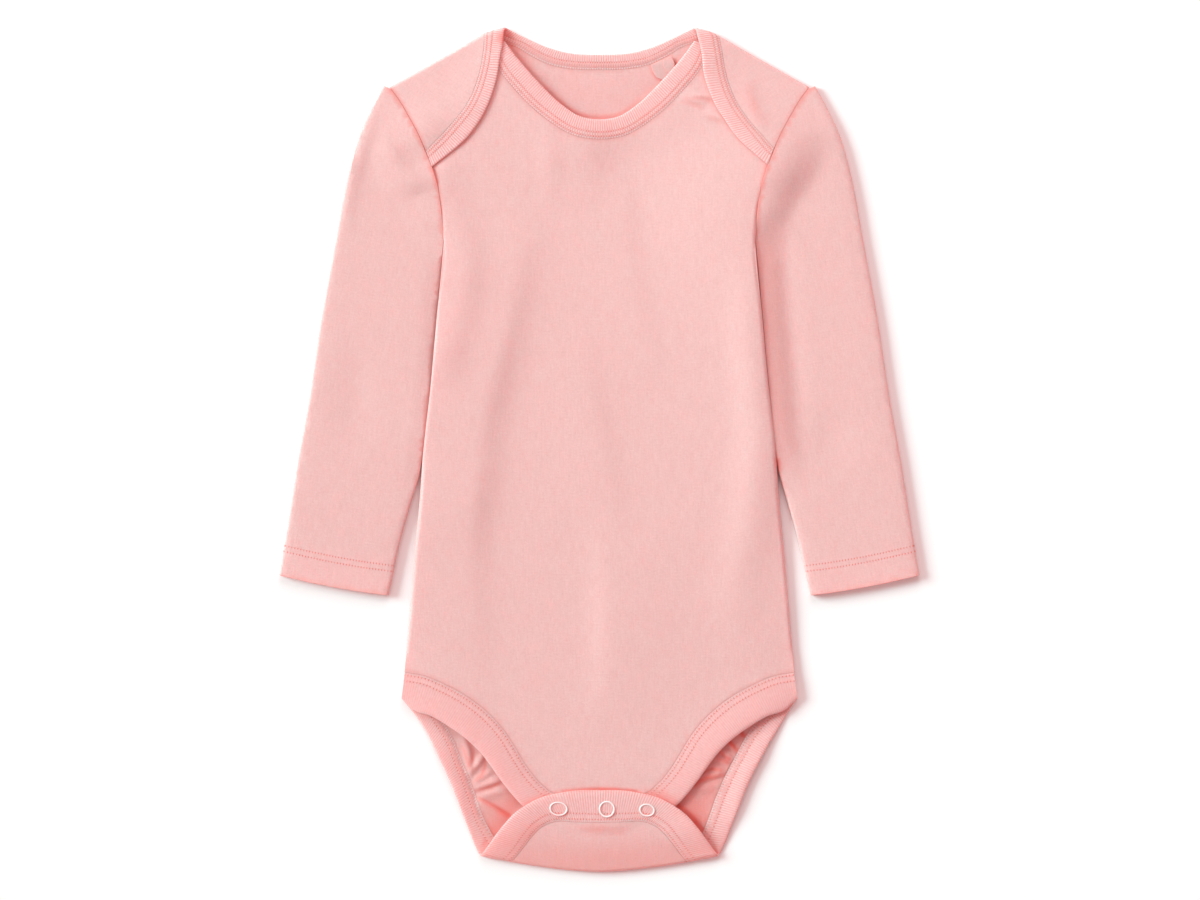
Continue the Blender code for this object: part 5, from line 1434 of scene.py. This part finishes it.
def edge_inset(line, sleeve):
    """An edge line with the sleeve on its left, moved in by the half round of its fold.

    Also the direction outwards at each of its points, and how far out and up the half round goes.
    """
    rise = sleeve_depth(line, sleeve) / 2
    is_inner = nearest_on(INNER_LINE, line)[0] < 1.0
    held = is_inner * span_share(line[:, 1], SLEEVE_BESIDE)
    reach = np.minimum(rise, EDGE_REACH - EDGE_PRESSED * held)
    reach *= 1.0 - is_inner * span_share(line[:, 1], UNDERARM_CLOSED)
    outward = line - beside(line, 1.0)
    return line - outward * (reach + WALL / 2)[:, None], outward, reach, rise


for sleeve in (SLEEVE_LEFT, SLEEVE_RIGHT):
    print(sleeve.word, "armhole is", round(armhole_depth(sleeve.side).max(), 1), "mm deep at most")

# %% Making a sleeve
SLEEVE_LEAN = 9.5           # degrees between the sleeve and the body


def sleeve_map(plan):
    """The plan turned so that the wales run down the sleeve."""
    angle = math.radians(SLEEVE_LEAN)
    u = plan[:, 0] * math.cos(angle) + plan[:, 1] * math.sin(angle)
    v = -plan[:, 0] * math.sin(angle) + plan[:, 1] * math.cos(angle)
    return np.column_stack([u, v])


def half_round(edge, first_row, last_row, total):
    """Points and faces that join two layers by a half round along an edge from edge_inset."""
    line, out, reach, rise = edge
    points, rows = [], [first_row]
    for k in range(1, ROUND_STEPS):
        angle = math.pi * k / ROUND_STEPS
        flat = line + out * (reach * math.sin(angle))[:, None]
        points.append(np.column_stack([flat, WALL / 2 + rise * (1 + math.cos(angle))]))
        rows.append(list(range(total, total + len(line))))
        total += len(line)
    rows.append(last_row)
    faces = []
    for above, below in zip(rows, rows[1:]):
        for k in range(len(line) - 1):
            faces += [(above[k], below[k], below[k + 1]), (above[k], below[k + 1], above[k + 1])]
    return np.vstack(points), faces


def make_sleeve(sleeve):
    """One sleeve: a flattened tube, open at both ends, with a turned-up hem."""
    side = sleeve.side
    outer = edge_inset(smooth_curve(SLEEVE_OUTER, EDGE_STEP)[::-1], sleeve)
    inner = edge_inset(smooth_curve(SLEEVE_INNER, EDGE_STEP), sleeve)
    seam = beside(smooth_curve(ARMHOLE, EDGE_STEP), SLEEVE_GAP)[1:-1]
    cuff = smooth_curve(CUFF, EDGE_STEP)[::-1][1:-1]
    outline = np.vstack([outer[0], seam, inner[0], cuff])
    points = lattice(outline, CLOTH_STEP)
    points = clear_of(points[inside(outline, points)], outline, CLEAR_SHARE * CLOTH_STEP)
    plan, triangles, number = cut_panel(outline, points)
    count = len(plan)
    upper = np.column_stack([plan, WALL / 2 + sleeve_depth(plan, sleeve)])
    middle = np.vstack([upper, np.column_stack([plan, np.full(count, WALL / 2)])])
    faces = [tuple(face) for face in triangles]
    faces += [tuple(c + count for c in reversed(face)) for face in triangles]
    for first, edge in ((0, outer), (len(outer[0]) + len(seam), inner)):
        on_top = number[first:first + len(edge[0])]
        points, more = half_round(edge, on_top, [k + count for k in on_top], len(middle))
        middle, faces = np.vstack([middle, points]), faces + more
    from_cuff = nearest_on(CUFF_LINE, middle[:, :2])[0]
    hem = HEM_EXTRA * ease((HEM_DEPTH + HEM_BLEND - from_cuff) / HEM_BLEND)
    flat_map = sleeve_map(middle[:, :2]) * (side, 1)
    if side < 0:                        # a mirrored mesh would be inside out
        faces = [tuple(reversed(face)) for face in faces]
    item = shell(f"sleeve_{sleeve.word}_cloth", middle * (side, 1, 1), faces, WALL, flat_map,
                 sleeve_knit, hem)
    places = np.array([(v.co.x * side, v.co.y) for v in item.data.vertices]) / MM
    from_cuff, along_cuff, _ = nearest_on(CUFF_LINE, places)
    add_map(item.data, "hem", np.column_stack([along_cuff, from_cuff]))
    width, length = box_of(plan)
    declare(item, f"sleeve_{sleeve.word}", (2 * width, length),
            flat_area(plan, triangles) * 2)


make_sleeve(SLEEVE_LEFT)
make_sleeve(SLEEVE_RIGHT)

# %% [markdown]
# ## Bindings
# A binding is a folded rib strip: thin at the seam, rounded on its free edge, with one shallow
# groove where the outer needle row pulls it down. A profile could be swept along a curve object. The
# section is set rib by rib instead, because the strip's width changes along its seam, and because
# it goes round a fold together with the cloth.

# %% Making a binding
SEAM_LAP = 0.1              # from the seam to where the strip starts
ROWS_WIDTH = 6.0            # the part of a strip that holds its needle rows
FULL_WIDTH = 9.0            # a narrower strip has that part narrower too
Across = namedtuple("Across", "from_seam share height")
# in mm, then as a share of the width beyond the rows, and as a share of the half thickness
SECTION = [Across(*row) for row in (
    (0.0, 0.0, 0.54), (0.35, 0.0, 0.60), (0.9, 0.0, 0.68), (1.6, 0.0, 0.74), (2.4, 0.0, 0.88),
    (3.2, 0.0, 0.93), (4.2, 0.0, 0.90), (5.2, 0.0, 1.0), (6.0, 0.25, 1.0), (6.0, 0.5, 1.0),
    (6.0, 0.72, 0.98), (6.0, 0.86, 0.84), (6.0, 0.96, 0.5), (6.0, 1.0, 0.0))]
NARROWEST = 0.01            # metres, the least width that a sheet is said to have


def binding(name, node, surface, ribs, material):
    """A folded rib strip along a seam, mapped along and across in millimetres."""
    seam, edge = ribs[:, :2], ribs[:, 2:]
    tangent, across = directions(seam), edge - seam
    width = np.linalg.norm(across, axis=1)
    square_width = np.abs(tangent[:, 0] * across[:, 1] - tangent[:, 1] * across[:, 0])
    start = SEAM_LAP / square_width * width
    along = marks_of((seam + edge) / 2)
    under = [row._replace(height=-row.height) for row in SECTION]
    rows, maps = [], []                 # round the strip: out on its lower face, back on its upper one
    for row in under + SECTION[-2::-1]:
        scale = np.minimum(1.0, (width - start) / FULL_WIDTH)
        v = start + row.from_seam * scale + row.share * (width - start - ROWS_WIDTH * scale)
        at = seam + (v / width)[:, None] * across
        rows.append(off_surface(surface, at, row.height * BINDING / 2))
        maps.append(np.column_stack([along, v]))
    around, rings = len(rows), len(ribs)
    points = np.stack(rows, axis=1).reshape(-1, 3)
    flat = np.stack(maps, axis=1).reshape(-1, 2)
    faces = []
    for i in range(rings - 1):
        for j in range(around):
            a, b = i * around + j, i * around + (j + 1) % around
            faces.append((a, a + around, b + around, b))
    faces.append(tuple(range(around)))
    faces.append(tuple((rings - 1) * around + k for k in reversed(range(around))))
    # Painted shade in the groove where the strip meets its seam.
    ring = np.arange(len(points)) % around
    at_seam = (ring == 0) | (ring == around - 1)
    strip = cloth_object(name, points, faces, flat, material, SEAM_SHADE_SHARE * at_seam)
    declare(strip, node, (max(width.mean() * MM, NARROWEST), along[-1] * MM),
            width.mean() * along[-1] * MM * MM)


# %% The four bindings
ON_FRONT, ON_BACK = front_surface(BINDING), back_surface(BINDING)
for name, node, surface, ribs, material, rests_on in (
        ("neck_rib_front", "neck_binding_front", ON_FRONT, NECK_FRONT_RIBS, neck_rib,
         ["back_panel"]),
        ("neck_rib_back", "neck_binding_back", ON_BACK, NECK_BACK_RIBS, neck_rib,
         ["floor", "front_panel"]),
        ("leg_rib_front", "leg_binding_front", ON_FRONT, LEG_FRONT_RIBS, leg_rib,
         ["back_panel"]),
        ("leg_rib_back", "leg_binding_back", ON_BACK, LEG_BACK_RIBS, flap_rib,
         ["floor", "front_panel"])):
    binding(name, node, surface, ribs, material)

# %% [markdown]
# ## Snaps
# Three open ring snaps go through the flap's binding. A ring is a small rounded profile spun
# round its middle, then made slightly oval, as the tilted cloth shows it. A torus primitive gives
# such a ring at once. The spin is used because it takes any profile, also one that isn't round.

# %% Snap rings
RING_WIRE = 0.47            # half the thickness of a ring's wire
WIRE_SIDES = 10
RING_STEPS = 48
RING_FLAT = 0.7             # the wire's height as a share of its thickness
RING_RISE = 0.25            # from the cloth to the middle of the ring
WELD = 0.01                 # points closer than this become one


def snap_ring(snap):
    """One ring, modelled at the origin with a spin and then brought to its place."""
    centre = (0, 0, 0)
    bpy.ops.object.select_all(action="DESELECT")
    radius = snap.across / 2 - RING_WIRE
    bpy.ops.mesh.primitive_circle_add(vertices=WIRE_SIDES, radius=RING_WIRE * MM, location=centre)
    ring = bpy.context.active_object
    ring.name = snap.name + "_enamel"
    bpy.ops.object.mode_set(mode="EDIT")
    bpy.ops.mesh.select_all(action="SELECT")
    bpy.ops.transform.rotate(value=math.pi / 2, orient_axis="X", center_override=centre)
    bpy.ops.transform.translate(value=(radius * MM, 0, 0))
    bpy.ops.mesh.spin(steps=RING_STEPS, angle=2 * math.pi, center=centre, axis=(0, 0, 1))
    bpy.ops.mesh.select_all(action="SELECT")
    bpy.ops.mesh.remove_doubles(threshold=WELD * MM)
    bpy.ops.mesh.normals_make_consistent(inside=False)
    bpy.ops.transform.resize(value=(1, snap.along / snap.across, RING_FLAT))
    bpy.ops.transform.rotate(value=math.radians(snap.turn), orient_axis="Z",
                             center_override=centre)
    height = flap_floor(np.array([[snap.x, snap.y]]))[0] + BINDING + RING_RISE
    bpy.ops.transform.translate(value=(snap.x * MM, snap.y * MM, height * MM))
    bpy.ops.object.mode_set(mode="OBJECT")
    ring.data.shade_smooth()
    ring.data.materials.append(enamel)
    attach(ring, "root")
    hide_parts(snap.name)
    print(ring.name, len(ring.data.polygons), "faces")


for snap in SNAPS:
    snap_ring(snap)

# %% [markdown]
# ## Neck tape
# A short folded tape is caught in the back neck seam. Its two leaves spread a little. They are so
# small that each is a fan of a few triangles with a wall, and not a finely divided cloth.

# %% Tape
LEAF = 0.5                  # thickness of one leaf
LEAF_RISE = 1.05            # from the lower leaf to the upper one, as a share of that
TAPE_CUT = (0.0125, 0.0155)     # metres, what shows of it laid flat
leaves = [np.array(TAPE_LOWER, float), np.array(TAPE_UPPER, float)]
corners = len(TAPE_LOWER)
fan = [(0, k + 1, k) for k in range(1, corners - 1)]
heights = [WALL + GAP + LEAF / 2, WALL + GAP + LEAF * (0.5 + LEAF_RISE)]
middle = np.vstack([np.column_stack([leaf, np.full(corners, z)])
                    for leaf, z in zip(leaves, heights)])
faces = fan + [tuple(k + corners for k in face) for face in fan]
tape = shell("neck_tape_cloth", middle, faces, LEAF, middle[:, :2], jersey, paint_rim_shade=False)
area = sum(flat_area(leaf, fan) for leaf in leaves)
declare(tape, "neck_tape", TAPE_CUT, area)

# %% [markdown]
# ## Stitches
# A needle row is a line of short thread bars that dive into the cloth at the needle holes. On the
# inside a looper thread runs to and fro between the two rows. Stitches could be painted on the
# cloth. Real bars are used because they catch the light from every side, and each has few faces.

# %% Thread bars
THREAD = 0.15               # half the width of a thread
THREAD_FLAT = 0.8           # its height as a share of that
AROUND = 6
# share of the way along a bar, and its height above the cloth
BAR = ((0.08, -0.15), (0.25, 0.06), (0.5, 0.12), (0.75, 0.06), (0.92, -0.15))


def bar_faces():
    """Faces of one bar: its two ends and the quads between its rings."""
    faces = [tuple(reversed(range(AROUND))), tuple(range((len(BAR) - 1) * AROUND, len(BAR) * AROUND))]
    for i in range(len(BAR) - 1):
        for k in range(AROUND):
            a, b = i * AROUND + k, i * AROUND + (k + 1) % AROUND
            faces.append((a, b, b + AROUND, a + AROUND))
    return faces


def thread_bars(name, starts, ends, normals):
    """Short bars of thread that dive into the cloth at both ends."""
    run = ends - starts
    up = normals / np.linalg.norm(normals, axis=1)[:, None]
    aside = np.cross(up, run)
    aside /= np.linalg.norm(aside, axis=1)[:, None]
    columns = []
    for share, lift in BAR:
        for k in range(AROUND):
            turn = 2 * math.pi * k / AROUND
            high, wide = lift + THREAD * THREAD_FLAT * math.sin(turn), THREAD * math.cos(turn)
            columns.append(starts + share * run + high * up + wide * aside)
    points = np.stack(columns, axis=1).reshape(-1, 3)
    one, size = bar_faces(), len(columns)
    faces = [tuple(c + size * k for c in face) for k in range(len(starts)) for face in one]
    item = cloth_object(name, points, faces, points[:, :2], thread)
    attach(item, "root")


def stops_on(surface, ribs, from_seam, side, pitch):
    """Points every `pitch` mm on a binding's face at a distance from its seam, with normals."""
    seam, edge = ribs[:, :2], ribs[:, 2:]
    width = np.linalg.norm(edge - seam, axis=1)
    at = seam + (from_seam / width)[:, None] * (edge - seam)
    low = off_surface(surface, at, 0.0)
    rising = [row for row in SECTION if row.from_seam < ROWS_WIDTH]
    share = np.interp(from_seam, [row.from_seam for row in rising], [row.height for row in rising])
    high = off_surface(surface, at, side * BINDING / 2 * share)
    marks = marks_of((seam + edge) / 2)
    stops = np.arange(pitch, marks[-1], pitch)
    return tuple(np.column_stack([np.interp(stops, marks, line[:, k]) for k in range(3)])
                 for line in (high, high - low))


# %% Rows on the bindings
TOP_ABOVE = 3.0             # the top layer lies above this height
UNDER_BELOW = 2.6           # and the under layer below this one
LOOPER_PAST = 0.5           # how far the looper runs past a needle row
UP, DOWN = 1, -1            # faces of a binding as it is drawn: a turned one has its lower face on top


def everywhere_on(line):
    """All of a row."""
    return np.ones(len(line), bool)


def outer_face(line):
    """Where a turned binding lies on the top layer."""
    return line[:, 2] > TOP_ABOVE


def inner_face(line):
    """Where it lies on the floor and shows its inside."""
    return line[:, 2] < UNDER_BELOW


def sew_rows(name, surface, ribs, rows, side, keep):
    """Both needle rows of a binding, where `keep` is true."""
    for number, from_seam in enumerate((rows.near, rows.far), 1):
        at, normals = stops_on(surface, ribs, from_seam, side, rows.pitch)
        kept = keep(at[:-1])
        thread_bars(f"{name}_row_{number}", at[:-1][kept], at[1:][kept], normals[:-1][kept])


def sew_looper(name, surface, ribs, rows):
    """The looper thread on a binding's inside, to and fro between the rows."""
    near, normals = stops_on(surface, ribs, rows.near - LOOPER_PAST, UP, rows.pitch)
    far, _ = stops_on(surface, ribs, rows.far + LOOPER_PAST, UP, rows.pitch)
    kept = inner_face(near[:-1])
    turned = (far[:-1] + far[1:]) / 2
    starts = np.vstack([near[:-1][kept], turned[kept]])
    ends = np.vstack([turned[kept], near[1:][kept]])
    thread_bars(name, starts, ends, np.vstack([normals[:-1][kept]] * 2))


sew_rows("neck_front_sewing", ON_FRONT, NECK_FRONT_RIBS, NECK_ROWS, UP, everywhere_on)
sew_rows("leg_front_sewing", ON_FRONT, LEG_FRONT_RIBS, LEG_ROWS, UP, everywhere_on)
sew_rows("neck_back_sewing", ON_BACK, NECK_BACK_RIBS, NECK_ROWS, DOWN, outer_face)
sew_rows("leg_back_sewing", ON_BACK, LEG_BACK_RIBS, LEG_ROWS, DOWN, outer_face)
sew_looper("neck_looper", ON_BACK, NECK_BACK_RIBS, NECK_ROWS)
sew_looper("leg_looper", ON_BACK, LEG_BACK_RIBS, LEG_ROWS)

# %% Rows on the cuffs
CUFF_SINK = 0.12            # how deep the rows of the hem sink in
for sleeve in (SLEEVE_LEFT, SLEEVE_RIGHT):
    marks = marks_of(CUFF_LINE)
    stops = np.arange(CUFF_ROWS.pitch, marks[-1], CUFF_ROWS.pitch)
    for number, from_cuff in enumerate((CUFF_ROWS.near, CUFF_ROWS.far), 1):
        row = beside(CUFF_LINE, -from_cuff)
        edge = np.column_stack([np.interp(stops, marks, row[:, k]) for k in range(2)])
        height = WALL + sleeve_depth(edge, sleeve) - CUFF_SINK
        at = np.column_stack([edge * (sleeve.side, 1), height])
        up = np.tile((0.0, 0.0, 1.0), (len(at) - 1, 1))
        thread_bars(f"cuff_{sleeve.word}_sewing_{number}", at[:-1], at[1:], up)
